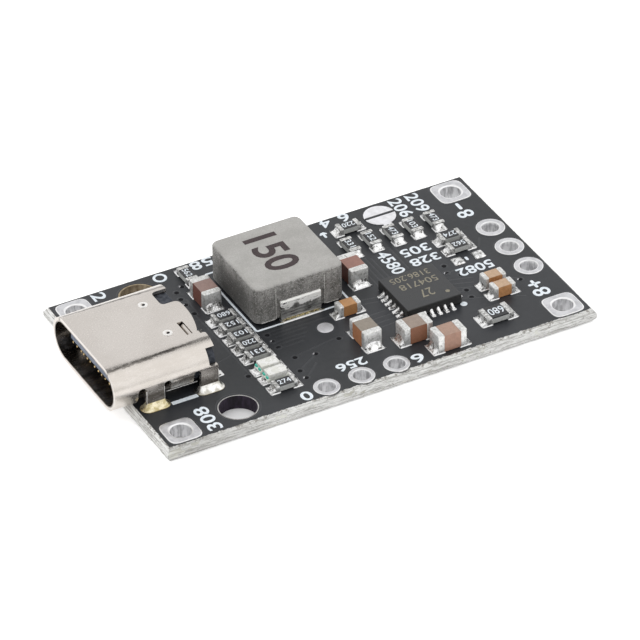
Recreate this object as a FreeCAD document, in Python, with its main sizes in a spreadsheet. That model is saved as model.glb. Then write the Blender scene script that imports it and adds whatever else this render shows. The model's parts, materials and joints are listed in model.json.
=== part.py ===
"""Lithium battery charger module: a small printed board with a type C socket, a power
inductor, a leadless charger chip and its resistors, capacitors, lamps and solder pads.

Lengths are in millimetres. The frame has +Z up, z = 0 on the board's underside with the origin
at its centre, +X towards the battery pads and -X towards the socket.
"""
import FreeCAD, Part
import math
import os
import Sketcher

# Driving dimensions, one sheet cell each
SIZES = {
    # Board blank, with edges scored from both faces and snapped along the middle
    "board_length": 31.2,
    "board_width": 18.0,
    "board_thickness": 1.0,
    "score_inset": 0.25,
    "score_depth": 0.35,
    "land_thickness": 0.05,
    # Screw holes
    "mount_hole_bore": 2.5,
    "mount_hole_inset_x": 6.0,
    "mount_hole_inset_y": 1.98,
    # Corner pads, square with rounded corners
    "corner_pad_side": 2.31,
    "corner_pad_round": 0.6,
    "corner_pad_bore": 1.45,
    "corner_pad_inset_x": 1.67,
    "corner_pad_inset_y": 1.53,
    # Round pads in rows
    "row_pitch": 2.54,
    "end_pad_across": 1.95,
    "end_pad_bore": 1.2,
    "end_pad_inset_x": 1.4,
    "side_pad_across": 1.75,
    "side_pad_bore": 1.2,
    "side_pad_inset_y": 1.13,
    "side_row_x": -1.14,
    # Bare test pad and the split jumper pad
    "test_pad_across": 1.1,
    "test_pad_x": -0.7,
    "test_pad_y": -2.12,
    "jumper_across": 2.2,
    "jumper_gap": 0.15,
    "jumper_neck": 0.6,
    "jumper_neck_length": 1.42,
    # Socket shell, one folded sheet
    "shell_length": 7.35,
    "shell_width": 8.94,
    "shell_height": 3.2,
    "shell_wall": 0.3,
    "shell_overhang": 1.38,
    "floor_cut_length": 2.05,
    "side_cut_inset": 1.37,
    "leg_width": 1.25,
    "front_slot_width": 0.58,
    "leg_gap_slot": 0.5,
    "front_leg_start": 2.23,
    "slot_top": 1.75,
    "side_wall_edge": 0.95,
    "rear_step_length": 0.62,
    "rear_step_low": 1.78,
    "rear_step_high": 2.85,
    # Cuts and dents in the shell's top
    "far_notch_length": 1.1,
    "far_notch_width": 1.55,
    "far_notch_y": 2.08,
    "near_notch_length": 0.32,
    "near_notch_width": 0.3,
    "near_notch_y": -2.5,
    "spring_slot_length": 0.4,
    "spring_slot_width": 1.5,
    "spring_slot_inset": 0.75,
    "spring_slot_y": -1.68,
    "dent_length": 0.45,
    "dent_width": 0.75,
    "dent_depth": 0.14,
    "dent_inset": 2.13,
    "far_dent_y": 1.92,
    "near_dent_y": -1.62,
    # Slots in the board for the shell's legs, and the solder over them
    "leg_slot_margin": 0.2,
    "leg_solder_ring": 0.2,
    "leg_solder_rise": 0.27,
    "leg_solder_slope": 40,
    # Insulator inside the shell
    "housing_clearance": 0.04,
    "housing_depth": 2.6,
    "housing_end_inset": 0.02,
    "housing_foot_width": 5.6,
    "tongue_width": 6.69,
    "tongue_thickness": 0.7,
    "tongue_inset": 0.63,
    "tongue_chamfer": 0.18,
    "plate_thickness": 0.12,
    "plate_inset": 0.2,
    "plate_tail": 0.6,
    # Socket contacts, eight above and eight below the tongue
    "contact_pitch": 0.5,
    "contact_width": 0.25,
    "contact_thickness": 0.1,
    "contact_inset": 0.3,
    "contact_jog_step": 0.4,
    "supply_tail_y": 2.4,
    "ground_tail_y": 3.2,
    "tail_pair_offset": 0.15,
    "tail_drop_inset": 0.02,
    "tail_foot": 0.65,
    "tail_land_length": 0.9,
    "tail_land_width": 0.32,
    # Inductor
    "inductor_x": -1.39,
    "inductor_y": 3.2,
    "inductor_length": 6.5,
    "inductor_width": 6.46,
    "inductor_height": 3.0,
    "inductor_corner": 0.5,
    "inductor_edge": 0.16,
    "terminal_width": 2.95,
    "terminal_thickness": 0.2,
    "terminal_seat": 0.08,
    "terminal_bend": 1.55,
    "terminal_foot": 1.5,
    "terminal_tab": 0.5,
    "terminal_round": 0.14,
    "recess_width": 3.55,
    "inductor_land_reach": 0.35,
    # Charger chip, leadless, six contacts a side
    "chip_x": 6.3,
    "chip_y": -2.1,
    "chip_side": 4.0,
    "chip_height": 0.8,
    "chip_edge": 0.05,
    "lead_pitch": 0.5,
    "lead_width": 0.24,
    "lead_length": 0.4,
    "lead_height": 0.2,
    "lead_proud": 0.02,
    "chip_pad_side": 2.6,
    "chip_land_width": 0.28,
    "chip_land_start": 0.45,
    "chip_land_reach": 0.45,
    # Two-terminal parts: small resistor, large resistor, small and large capacitor, lamp
    "small_resistor_length": 1.6,
    "small_resistor_width": 0.8,
    "small_resistor_height": 0.45,
    "small_resistor_cap": 0.3,
    "large_resistor_length": 2.0,
    "large_resistor_width": 1.25,
    "large_resistor_height": 0.5,
    "large_resistor_cap": 0.4,
    "small_capacitor_length": 1.6,
    "small_capacitor_width": 0.8,
    "small_capacitor_height": 0.8,
    "small_capacitor_cap": 0.35,
    "large_capacitor_length": 2.1,
    "large_capacitor_width": 1.25,
    "large_capacitor_height": 1.25,
    "large_capacitor_cap": 0.48,
    "lamp_length": 1.6,
    "lamp_width": 0.8,
    "lamp_height": 0.6,
    "lamp_cap": 0.3,
    "lamp_base_height": 0.25,
    "lamp_lens_length": 1.0,
    "lamp_lens_taper": 0.1,
    "cap_wall": 0.04,
    "land_gap": 0.77,
    "land_reach": 0.36,
    "land_margin": 0.05,
    "solder_share": 0.6,
    "solder_reach": 0.3,
    # Empty lands for a part that isn't fitted, from the battery end and the far edge
    "spare_lands_inset_x": 4.4,
    "spare_lands_inset_y": 8.81,
}

# Centres of the two-terminal parts, as sheet cells too: x from the socket's rear, the board's
# middle or its battery end, y from its near edge, middle or far edge, and the turn about +Z
PLACES = {
    "socket_pull_down_resistor_1": ("socket", 3.6, "middle", 1.85, 0),
    "socket_pull_down_resistor_2": ("socket", 3.6, "middle", 0.68, 0),
    "input_divider_resistor_1": ("socket", 3.6, "middle", -0.52, 0),
    "input_divider_resistor_2": ("socket", 3.6, "middle", -1.68, 0),
    "charging_lamp_resistor": ("socket", 3.6, "middle", -2.86, 0),
    "full_lamp_resistor": ("socket", 3.6, "middle", -6.55, 0),
    "input_bleed_resistor": ("socket", 3.68, "far", 1.8, 90),
    "cell_count_resistor": ("middle", 5.85, "far", 2.1, 0),
    "snubber_resistor": ("middle", 4.92, "far", 4.13, 90),
    "frequency_resistor": ("middle", 6.5, "far", 4.1, 90),
    "charge_voltage_resistor": ("middle", 8.08, "far", 4.2, 90),
    "upper_limit_resistor": ("end", 6.0, "far", 4.15, 90),
    "lower_limit_resistor": ("end", 4.4, "far", 4.12, 90),
    "temperature_resistor": ("end", 4.45, "far", 6.38, 0),
    "thermistor_resistor": ("end", 4.45, "far", 7.62, 0),
    "current_sense_resistor": ("end", 6.13, "near", 2.45, 0),
    "bootstrap_capacitor": ("middle", 1.38, "middle", -1.33, 0),
    "filter_capacitor_1": ("end", 4.45, "middle", -3.15, 0),
    "filter_capacitor_2": ("end", 4.45, "middle", -4.4, 0),
    "input_capacitor": ("socket", 3.58, "middle", 4.35, 90),
    "switching_capacitor": ("middle", 3.5, "middle", 1.95, 90),
    "output_capacitor_1": ("middle", 0.92, "middle", -4.62, 90),
    "output_capacitor_2": ("middle", 3.8, "near", 3.12, 0),
    "output_capacitor_3": ("middle", 5.3, "near", 1.32, 0),
    "charging_lamp": ("socket", 3.6, "middle", -4.3, 0),
    "full_lamp": ("socket", 3.6, "middle", -5.35, 0),
}

# Which parts share a size
SMALL_RESISTORS = [name for name in PLACES if name.endswith("resistor") or "resistor_" in name]
SMALL_RESISTORS.remove("current_sense_resistor")
LARGE_RESISTORS = ["current_sense_resistor"]
SMALL_CAPACITORS = ["bootstrap_capacitor", "filter_capacitor_1", "filter_capacitor_2"]
LARGE_CAPACITORS = [
    "input_capacitor", "switching_capacitor",
    "output_capacitor_1", "output_capacitor_2", "output_capacitor_3",
]
LAMPS = ["charging_lamp", "full_lamp"]

# Contact places along the tongue's width, in contact pitches from its middle
TONGUE_STEPS = (0.5, 1.5, 2.5, 5.5)

doc = FreeCAD.newDocument("charger_module")
sheet = doc.addObject("Spreadsheet::Sheet", "sizes")


class Size:
    """A length that carries its number and the sheet expression that it comes from."""

    def __init__(self, number, text):
        self.number = number
        self.text = text

    @staticmethod
    def of(value):
        """Return the value itself if it is a Size, or a plain number as one."""
        if isinstance(value, Size):
            return value
        return Size(float(value), "(" + repr(float(value)) + ")")

    def joined(self, sign, other, number):
        """Return the Size that two texts and their combined number make."""
        return Size(number, "(" + self.text + " " + sign + " " + other.text + ")")

    def __add__(self, other):
        other = Size.of(other)
        return self.joined("+", other, self.number + other.number)

    def __radd__(self, other):
        return Size.of(other) + self

    def __sub__(self, other):
        other = Size.of(other)
        return self.joined("-", other, self.number - other.number)

    def __rsub__(self, other):
        return Size.of(other) - self

    def __mul__(self, other):
        other = Size.of(other)
        return self.joined("*", other, self.number * other.number)

    def __rmul__(self, other):
        return Size.of(other) * self

    def __truediv__(self, other):
        other = Size.of(other)
        return self.joined("/", other, self.number / other.number)

    def __neg__(self):
        return Size.of(-1) * self


class Sheet:
    """The sheet's cells as attributes, each one a Size."""

    def __init__(self):
        self.row = 0

    def put(self, name, number):
        """Write one cell with its alias."""
        self.row += 1
        sheet.set("A" + str(self.row), str(number))
        sheet.setAlias("A" + str(self.row), name)
        setattr(self, name, Size(float(number), "sizes." + name))


S = Sheet()
for alias, number in SIZES.items():
    S.put(alias, number)
for place, (from_x, place_x, from_y, place_y, place_turn) in PLACES.items():
    S.put(place + "_x", place_x)
    S.put(place + "_y", place_y)
doc.recompute()

X_AXIS = FreeCAD.Vector(1, 0, 0)
Y_AXIS = FreeCAD.Vector(0, 1, 0)
Z_AXIS = FreeCAD.Vector(0, 0, 1)
NO_TURN = FreeCAD.Rotation()
ALONG_X = FreeCAD.Rotation(Y_AXIS, 90)
ALONG_Y = FreeCAD.Rotation(X_AXIS, -90)


def bind(thing, **sizes):
    """Set properties from Sizes, each bound to the sheet."""
    for name, size in sizes.items():
        size = Size.of(size)
        thing.setExpression(name, size.text)
    return thing


def put_at(thing, x=0, y=0, z=0, turn=NO_TURN):
    """Place an object, its turn fixed and its position bound to the sheet."""
    thing.Placement = FreeCAD.Placement(FreeCAD.Vector(0, 0, 0), turn)
    for axis, size in (("x", x), ("y", y), ("z", z)):
        thing.setExpression("Placement.Base." + axis, Size.of(size).text)
    return thing


def add(kind, name):
    """Add a document object; its label is the name asked for."""
    return doc.addObject(kind, name)


def block(name, x, y, z):
    """A box between two Sizes on each axis: x, y and z are (low, high)."""
    box = add("Part::Box", name)
    bind(box, Length=x[1] - x[0], Width=y[1] - y[0], Height=z[1] - z[0])
    return put_at(box, x[0], y[0], z[0])


def rod(name, radius, length, x=0, y=0, z=0, turn=NO_TURN):
    """A cylinder from its foot, upright unless turned."""
    cylinder = add("Part::Cylinder", name)
    bind(cylinder, Radius=radius, Height=length)
    return put_at(cylinder, x, y, z, turn)


def cut(name, base, tool):
    """One object less another."""
    result = add("Part::Cut", name)
    result.Base = base
    result.Tool = tool
    return result


def fuse(name, things):
    """Several objects as one solid."""
    result = add("Part::MultiFuse", name)
    result.Shapes = things
    result.Refine = True
    return result


def group(name, things):
    """Several separate solids as one object."""
    result = add("Part::Compound", name)
    result.Links = things
    return result


def spread(middle, width):
    """The (low, high) pair of a width about its middle."""
    return (middle - width / 2, middle + width / 2)


class Outline:
    """A sketch whose shapes are bound to the sheet, drawn in its own x and y."""

    def __init__(self, name, body=None, plane=None, lift=0):
        if body is None:
            self.sketch = add("Sketcher::SketchObject", name)
        else:
            self.sketch = body.newObject("Sketcher::SketchObject", name)
            self.sketch.AttachmentSupport = [(origin_plane(body, plane), "")]
            self.sketch.MapMode = "FlatFace"
            self.sketch.setExpression("AttachmentOffset.Base.z", Size.of(lift).text)

    def drive(self, kind, places, size):
        """Add one dimension and bind it to its Size."""
        size = Size.of(size)
        index = self.sketch.addConstraint(Sketcher.Constraint(kind, *places, size.number))
        self.sketch.setExpression("Constraints[" + str(index) + "]", size.text)

    def relate(self, kind, *places):
        """Add a relation that has no size."""
        self.sketch.addConstraint(Sketcher.Constraint(kind, *places))

    def circle(self, x, y, radius):
        """A circle by its centre."""
        x, y, radius = Size.of(x), Size.of(y), Size.of(radius)
        centre = FreeCAD.Vector(x.number, y.number, 0)
        ring = self.sketch.addGeometry(Part.Circle(centre, Z_AXIS, radius.number), False)
        self.drive("Radius", (ring,), radius)
        self.drive("DistanceX", (-1, 1, ring, 3), x)
        self.drive("DistanceY", (-1, 1, ring, 3), y)

    def rectangle(self, x, y):
        """A rectangle between (low, high) Sizes on both axes."""
        low_x, high_x = Size.of(x[0]), Size.of(x[1])
        low_y, high_y = Size.of(y[0]), Size.of(y[1])
        corners = [
            FreeCAD.Vector(low_x.number, low_y.number, 0),
            FreeCAD.Vector(high_x.number, low_y.number, 0),
            FreeCAD.Vector(high_x.number, high_y.number, 0),
            FreeCAD.Vector(low_x.number, high_y.number, 0),
        ]
        lines = []
        for index in range(4):
            line = Part.LineSegment(corners[index], corners[(index + 1) % 4])
            lines.append(self.sketch.addGeometry(line, False))
        for index in range(4):
            self.relate("Coincident", lines[index], 2, lines[(index + 1) % 4], 1)
        for line, relation in zip(lines, ("Horizontal", "Vertical", "Horizontal", "Vertical")):
            self.relate(relation, line)
        self.drive("DistanceX", (-1, 1, lines[0], 1), low_x)
        self.drive("DistanceY", (-1, 1, lines[0], 1), low_y)
        self.drive("DistanceX", (-1, 1, lines[1], 2), high_x)
        self.drive("DistanceY", (-1, 1, lines[1], 2), high_y)

    def leg_slot(self, x, y, length, width):
        """A slot with eight sides, its length along x, by its centre."""
        x, y = Size.of(x), Size.of(y)
        corner = width * (1 - math.tan(math.pi / 8)) / 2
        ends = (length / 2, length / 2 - corner)
        sides = (width / 2 - corner, width / 2)
        places = []
        for across, along in ((-1, -1), (1, -1), (1, 1), (-1, 1)):
            pair = [(x + across * end, y + along * side) for end, side in zip(ends, sides)]
            places += pair if across * along > 0 else pair[::-1]
        points = [FreeCAD.Vector(px.number, py.number, 0) for px, py in places]
        lines = []
        for index in range(8):
            line = Part.LineSegment(points[index], points[(index + 1) % 8])
            lines.append(self.sketch.addGeometry(line, False))
        for index in range(8):
            self.relate("Coincident", lines[index], 2, lines[(index + 1) % 8], 1)
            self.drive("DistanceX", (-1, 1, lines[index], 1), places[index][0])
            self.drive("DistanceY", (-1, 1, lines[index], 1), places[index][1])

    def stadium(self, x, y, length, width):
        """A slot shape, its length along x, by its centre."""
        x, y = Size.of(x), Size.of(y)
        reach = (length - width) / 2
        radius = width / 2
        quarter = math.pi / 2
        arcs = []
        for side, start in ((-1, quarter), (1, -quarter)):
            centre = FreeCAD.Vector(x.number + side * reach.number, y.number, 0)
            whole = Part.Circle(centre, Z_AXIS, radius.number)
            arc = Part.ArcOfCircle(whole, start, start + math.pi)
            arcs.append(self.sketch.addGeometry(arc, False))
        lines = []
        for side in (-1, 1):
            height = y.number + side * radius.number
            start = FreeCAD.Vector(x.number - reach.number, height, 0)
            end = FreeCAD.Vector(x.number + reach.number, height, 0)
            lines.append(self.sketch.addGeometry(Part.LineSegment(start, end), False))
        self.relate("Tangent", arcs[0], 2, lines[0], 1)
        self.relate("Tangent", arcs[0], 1, lines[1], 1)
        self.relate("Tangent", arcs[1], 1, lines[0], 2)
        self.relate("Tangent", arcs[1], 2, lines[1], 2)
        self.relate("Horizontal", lines[0])
        self.drive("Radius", (arcs[0],), radius)
        self.drive("DistanceX", (-1, 1, arcs[0], 3), x - reach)
        self.drive("DistanceY", (-1, 1, arcs[0], 3), y)
        self.drive("DistanceX", (-1, 1, arcs[1], 3), x + reach)


def origin_plane(body, role):
    """One of a body's own origin planes."""
    for feature in body.Origin.OriginFeatures:
        if feature.Role == role:
            return feature
    raise ValueError(role)


def extrusion(name, outline, start, length, taper=0):
    """An outline on the XY plane pulled up by a length from a start height."""
    put_at(outline.sketch, 0, 0, start)
    result = add("Part::Extrusion", name)
    result.Base = outline.sketch
    result.DirMode = "Normal"
    result.Solid = True
    bind(result, LengthFwd=length, TaperAngle=taper)
    return result


# Places that several sub-parts share
BOARD_TOP = S.board_thickness
SEAT = S.board_thickness + S.land_thickness
SHELL_FRONT = -S.board_length / 2 - S.shell_overhang
SHELL_REAR = SHELL_FRONT + S.shell_length
SHELL_MIDDLE = BOARD_TOP + S.shell_height / 2
LEG_Y = S.shell_width / 2 - S.shell_wall / 2
FRONT_LEG = (SHELL_FRONT + S.front_leg_start, SHELL_FRONT + S.front_leg_start + S.leg_width)
REAR_LEG = (SHELL_REAR - S.leg_width, SHELL_REAR)
LEG_PLACES = [
    ((leg[0] + leg[1]) / 2, side * LEG_Y) for leg in (FRONT_LEG, REAR_LEG) for side in (-1, 1)
]
SLOT_LENGTH = S.leg_width + 2 * S.leg_slot_margin
SLOT_WIDTH = S.shell_wall + 2 * S.leg_slot_margin
CORNER_X = S.board_length / 2 - S.corner_pad_inset_x
CORNER_Y = S.board_width / 2 - S.corner_pad_inset_y
CORNERS = [(i * CORNER_X, j * CORNER_Y) for i in (-1, 1) for j in (-1, 1)]
END_X = S.board_length / 2 - S.end_pad_inset_x
END_ROW = [(END_X, step * S.row_pitch) for step in (-1, 0, 1)]
SIDE_Y = S.side_pad_inset_y - S.board_width / 2
SIDE_ROW = [(S.side_row_x + step * S.row_pitch, SIDE_Y) for step in (-1, 0, 1)]
HOLE_X = S.mount_hole_inset_x - S.board_length / 2
HOLE_Y = S.board_width / 2 - S.mount_hole_inset_y


def part_place(name):
    """The centre of a two-terminal part, from the edges that it is measured from."""
    from_x, from_y = PLACES[name][0], PLACES[name][2]
    x, y = getattr(S, name + "_x"), getattr(S, name + "_y")
    if from_x == "socket":
        x = SHELL_REAR + x
    elif from_x == "end":
        x = S.board_length / 2 - x
    if from_y == "near":
        y = y - S.board_width / 2
    elif from_y == "far":
        y = S.board_width / 2 - y
    return x, y


def make_board():
    """The board: a web with a sloped score on each side, drilled and slotted."""
    body = add("PartDesign::Body", "board")
    edge_x = spread(Size.of(0), S.board_length)
    edge_y = spread(Size.of(0), S.board_width)
    web = Outline("web_outline", body, "XY_Plane", S.score_depth)
    web.rectangle(edge_x, edge_y)
    pad = body.newObject("PartDesign::Pad", "web")
    pad.Profile = web.sketch
    bind(pad, Length=S.board_thickness - 2 * S.score_depth)
    doc.recompute()
    slope = Size(
        math.degrees(math.atan2(S.score_inset.number, S.score_depth.number)),
        "atan2(" + S.score_inset.text + "; " + S.score_depth.text + ")",
    )
    for name, lift, down in (
        ("upper_score", S.board_thickness - S.score_depth, False),
        ("lower_score", S.score_depth, True),
    ):
        outline = Outline(name + "_outline", body, "XY_Plane", lift)
        outline.rectangle(edge_x, edge_y)
        flank = body.newObject("PartDesign::Pad", name)
        flank.Profile = outline.sketch
        flank.Reversed = down
        bind(flank, Length=S.score_depth, TaperAngle=-slope)
        doc.recompute()
    holes = Outline("hole_outline", body, "XY_Plane", 0)
    for x, y in CORNERS:
        holes.circle(x, y, S.corner_pad_bore / 2)
    for x, y in END_ROW:
        holes.circle(x, y, S.end_pad_bore / 2)
    for x, y in SIDE_ROW:
        holes.circle(x, y, S.side_pad_bore / 2)
    for side in (-1, 1):
        holes.circle(HOLE_X, side * HOLE_Y, S.mount_hole_bore / 2)
    for x, y in LEG_PLACES:
        holes.leg_slot(x, y, SLOT_LENGTH, SLOT_WIDTH)
    drilled = body.newObject("PartDesign::Pocket", "holes")
    drilled.Profile = holes.sketch
    drilled.Reversed = True
    drilled.Type = "ThroughAll"
    doc.recompute()
    body.Tip = drilled
    return body


def make_corner_pads():
    """Four square pads with rounded corners, each round a hole at a corner of the board."""
    outline = Outline("corner_pad_outline")
    for x, y in CORNERS:
        outline.rectangle(spread(x, S.corner_pad_side), spread(y, S.corner_pad_side))
        outline.circle(x, y, S.corner_pad_bore / 2)
    square = extrusion("corner_pads_square", outline, BOARD_TOP, S.land_thickness)
    doc.recompute()
    rounded = add("Part::Fillet", "corner_pads")
    rounded.Base = square
    rounded.Edges = [
        (index + 1, S.corner_pad_round.number, S.corner_pad_round.number)
        for index, edge in enumerate(square.Shape.Edges)
        if is_upright(edge)
    ]
    return rounded


def is_upright(edge):
    """Tell whether an edge is a straight line along Z."""
    if not isinstance(edge.Curve, Part.Line):
        return False
    return abs(abs(edge.Curve.Direction.z) - 1) < 1e-6


def round_pads(name, places, across, bore):
    """A row of round pads, each round a hole."""
    outline = Outline(name + "_outline")
    for x, y in places:
        outline.circle(x, y, across / 2)
        outline.circle(x, y, bore / 2)
    return extrusion(name, outline, BOARD_TOP, S.land_thickness)


def make_leg_solder(shell):
    """Solder that fills each leg slot, covers its land and rises against the leg."""
    fills = []
    ring = 2 * S.leg_solder_ring
    for index, (x, y) in enumerate(LEG_PLACES):
        plug = Outline("leg_plug_outline_" + str(index))
        plug.leg_slot(x, y, SLOT_LENGTH, SLOT_WIDTH)
        mound = Outline("leg_mound_outline_" + str(index))
        mound.leg_slot(x, y, SLOT_LENGTH + ring, SLOT_WIDTH + ring)
        fill = fuse("leg_fill_" + str(index), [
            extrusion("leg_plug_" + str(index), plug, Size.of(0), BOARD_TOP),
            extrusion("leg_mound_" + str(index), mound, BOARD_TOP, S.leg_solder_rise,
                      -S.leg_solder_slope),
        ])
        fills.append(cut("leg_solder_" + str(index), fill, shell))
    return group("socket_leg_solder", fills)


def side_slot(name, x, side, top):
    """A round-ended cut up into one side of the shell, between two places along X."""
    reach = (S.shell_width / 2, S.shell_width / 2 + S.shell_wall)
    inner = reach[0] - S.side_cut_inset
    low, high = (inner, reach[1]) if side > 0 else (-reach[1], -inner)
    radius = (x[1] - x[0]) / 2
    shaft = block(name + "_shaft", x, (low, high), (Size.of(0), BOARD_TOP + top - radius))
    head = rod(
        name + "_head", radius, high - low,
        x[0] + radius, low, BOARD_TOP + top - radius, ALONG_Y,
    )
    return [shaft, head]


def make_shell():
    """The folded shell: a slot-shaped tube with four legs, cut sides and a notched rear."""
    outline = Outline("shell_outline")
    outline.stadium(0, 0, S.shell_width, S.shell_height)
    inner_width = S.shell_width - 2 * S.shell_wall
    inner_height = S.shell_height - 2 * S.shell_wall
    outline.stadium(0, 0, inner_width, inner_height)
    tube = add("Part::Extrusion", "shell_tube")
    tube.Base = outline.sketch
    tube.DirMode = "Normal"
    tube.Solid = True
    bind(tube, LengthFwd=S.shell_length)
    turn = FreeCAD.Rotation(Y_AXIS, Z_AXIS, X_AXIS, "ZXY")
    put_at(outline.sketch, SHELL_FRONT, 0, SHELL_MIDDLE, turn)

    tools = []
    legs = []
    for side, label in ((-1, "near"), (1, "far")):
        front_slot = (FRONT_LEG[0] - S.front_slot_width, FRONT_LEG[0])
        after_slot = (FRONT_LEG[1], FRONT_LEG[1] + S.leg_gap_slot)
        before_slot = (REAR_LEG[0] - S.leg_gap_slot, REAR_LEG[0])
        for slot, name in ((front_slot, "front"), (after_slot, "after"), (before_slot, "before")):
            tools += side_slot(label + "_" + name + "_slot", slot, side, S.slot_top)
        inner = S.shell_width / 2 - S.side_cut_inset
        outer = S.shell_width / 2 + S.shell_wall
        y = (inner, outer) if side > 0 else (-outer, -inner)
        under_leg = (Size.of(0), SHELL_MIDDLE)
        tools.append(block(label + "_front_leg_opening", FRONT_LEG, y, under_leg))
        tools.append(block(label + "_rear_leg_opening", (REAR_LEG[0], SHELL_REAR + 1), y, under_leg))
        low_edge = (Size.of(0), BOARD_TOP + S.side_wall_edge)
        between = (after_slot[0], before_slot[1])
        tools.append(block(label + "_edge_opening", between, y, low_edge))
        step = (BOARD_TOP + S.rear_step_low, BOARD_TOP + S.rear_step_high)
        rear_step = (SHELL_REAR - S.rear_step_length, SHELL_REAR + 1)
        tools.append(block(label + "_rear_step", rear_step, y, step))
        leg_y = spread(side * LEG_Y, S.shell_wall)
        for x, name in ((FRONT_LEG, "front"), (REAR_LEG, "rear")):
            legs.append(block(label + "_" + name + "_leg", x, leg_y, (Size.of(0), SHELL_MIDDLE)))

    floor_y = spread(Size.of(0), S.shell_width - 2 * S.side_cut_inset)
    floor_x = (SHELL_REAR - S.floor_cut_length, SHELL_REAR + 1)
    floor_z = (Size.of(0), BOARD_TOP + S.shell_wall + S.housing_clearance)
    tools.append(block("floor_opening", floor_x, floor_y, floor_z))
    top = (SHELL_MIDDLE, BOARD_TOP + S.shell_height + 1)
    for name, length, y, width in (
        ("far_notch", S.far_notch_length, S.far_notch_y, S.far_notch_width),
        ("near_notch", S.near_notch_length, S.near_notch_y, S.near_notch_width),
    ):
        tools.append(block(name, (SHELL_REAR - length, SHELL_REAR + 1), spread(y, width), top))
    slot_end = SHELL_REAR - S.spring_slot_inset
    slot_x = (slot_end - S.spring_slot_length, slot_end)
    tools.append(block("spring_slot", slot_x, spread(S.spring_slot_y, S.spring_slot_width), top))
    dent_radius = (S.dent_length * S.dent_length / 4 + S.dent_depth * S.dent_depth) / (
        2 * S.dent_depth)
    for name, y in (("far_dent", S.far_dent_y), ("near_dent", S.near_dent_y)):
        tools.append(rod(
            name, dent_radius, S.dent_width, SHELL_REAR - S.dent_inset, y - S.dent_width / 2,
            BOARD_TOP + S.shell_height - S.dent_depth + dent_radius, ALONG_Y,
        ))
    folded = cut("shell_cut", tube, fuse("shell_tools", tools))
    return fuse("socket_shell", [folded] + legs)


def contact_path(name, strip_y, tail_y, low, high, jog):
    """One contact: a strip on the tongue, a sideways jog in the insulator and a tail.

    low and high are the strip's heights, and jog is where along X it turns sideways.
    """
    width = S.contact_width
    strip_x = (SHELL_FRONT + S.tongue_inset + S.contact_inset, jog + width)
    back = SHELL_REAR - S.housing_end_inset + S.tail_drop_inset
    flat = (low, high)
    left = strip_y if strip_y.number < tail_y.number else tail_y
    right = tail_y if strip_y.number < tail_y.number else strip_y
    pieces = [
        block(name + "_strip", strip_x, spread(strip_y, width), flat),
        block(name + "_jog", (jog, jog + width), (left - width / 2, right + width / 2), flat),
        block(name + "_run", (jog, back + S.contact_thickness), spread(tail_y, width), flat),
        block(name + "_drop", (back, back + S.contact_thickness), spread(tail_y, width),
              (SEAT, high)),
        block(name + "_foot", (back, back + S.tail_foot), spread(tail_y, width),
              (SEAT, SEAT + S.contact_thickness)),
    ]
    return fuse(name, pieces)


def make_contacts():
    """Both rows of contacts, as two groups of separate strips."""
    tongue_top = SHELL_MIDDLE + S.tongue_thickness / 2
    tongue_low = SHELL_MIDDLE - S.tongue_thickness / 2
    start = SHELL_REAR - S.housing_depth + S.contact_width
    jogs = [start + step * S.contact_jog_step for step in (3, 2, 1, 0)]
    pair = S.tail_pair_offset
    pitch = S.contact_pitch
    upper_tails = (0.5 * pitch, 2.5 * pitch, S.supply_tail_y - pair, S.ground_tail_y - pair)
    lower_tails = (1.5 * pitch, 3.5 * pitch, S.supply_tail_y + pair, S.ground_tail_y + pair)
    rows = (
        ("socket_upper_contacts", upper_tails, tongue_top - S.contact_thickness, tongue_top),
        ("socket_lower_contacts", lower_tails, tongue_low, tongue_low + S.contact_thickness),
    )
    groups = []
    for row, tails, low, high in rows:
        contacts = []
        for side in (-1, 1):
            for step, tail, jog in zip(TONGUE_STEPS, tails, jogs):
                name = row[:-1] + "_" + str(len(contacts))
                contacts.append(contact_path(
                    name, side * step * pitch, side * tail, low, high, jog,
                ))
        groups.append(group(row, contacts))
    return groups


def make_mid_plate():
    """The steel plate that stiffens the tongue, narrower where it enters the insulator."""
    z = spread(SHELL_MIDDLE, S.plate_thickness)
    front = SHELL_FRONT + S.tongue_inset + S.plate_inset
    root = SHELL_REAR - S.housing_depth
    wide = block("plate_front", (front, root), spread(Size.of(0), S.tongue_width), z)
    tail_width = S.tongue_width - 2 * S.plate_tail
    narrow = block("plate_tail", (root, root + 2 * S.plate_tail), spread(Size.of(0), tail_width), z)
    return fuse("socket_mid_plate", [wide, narrow])


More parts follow.
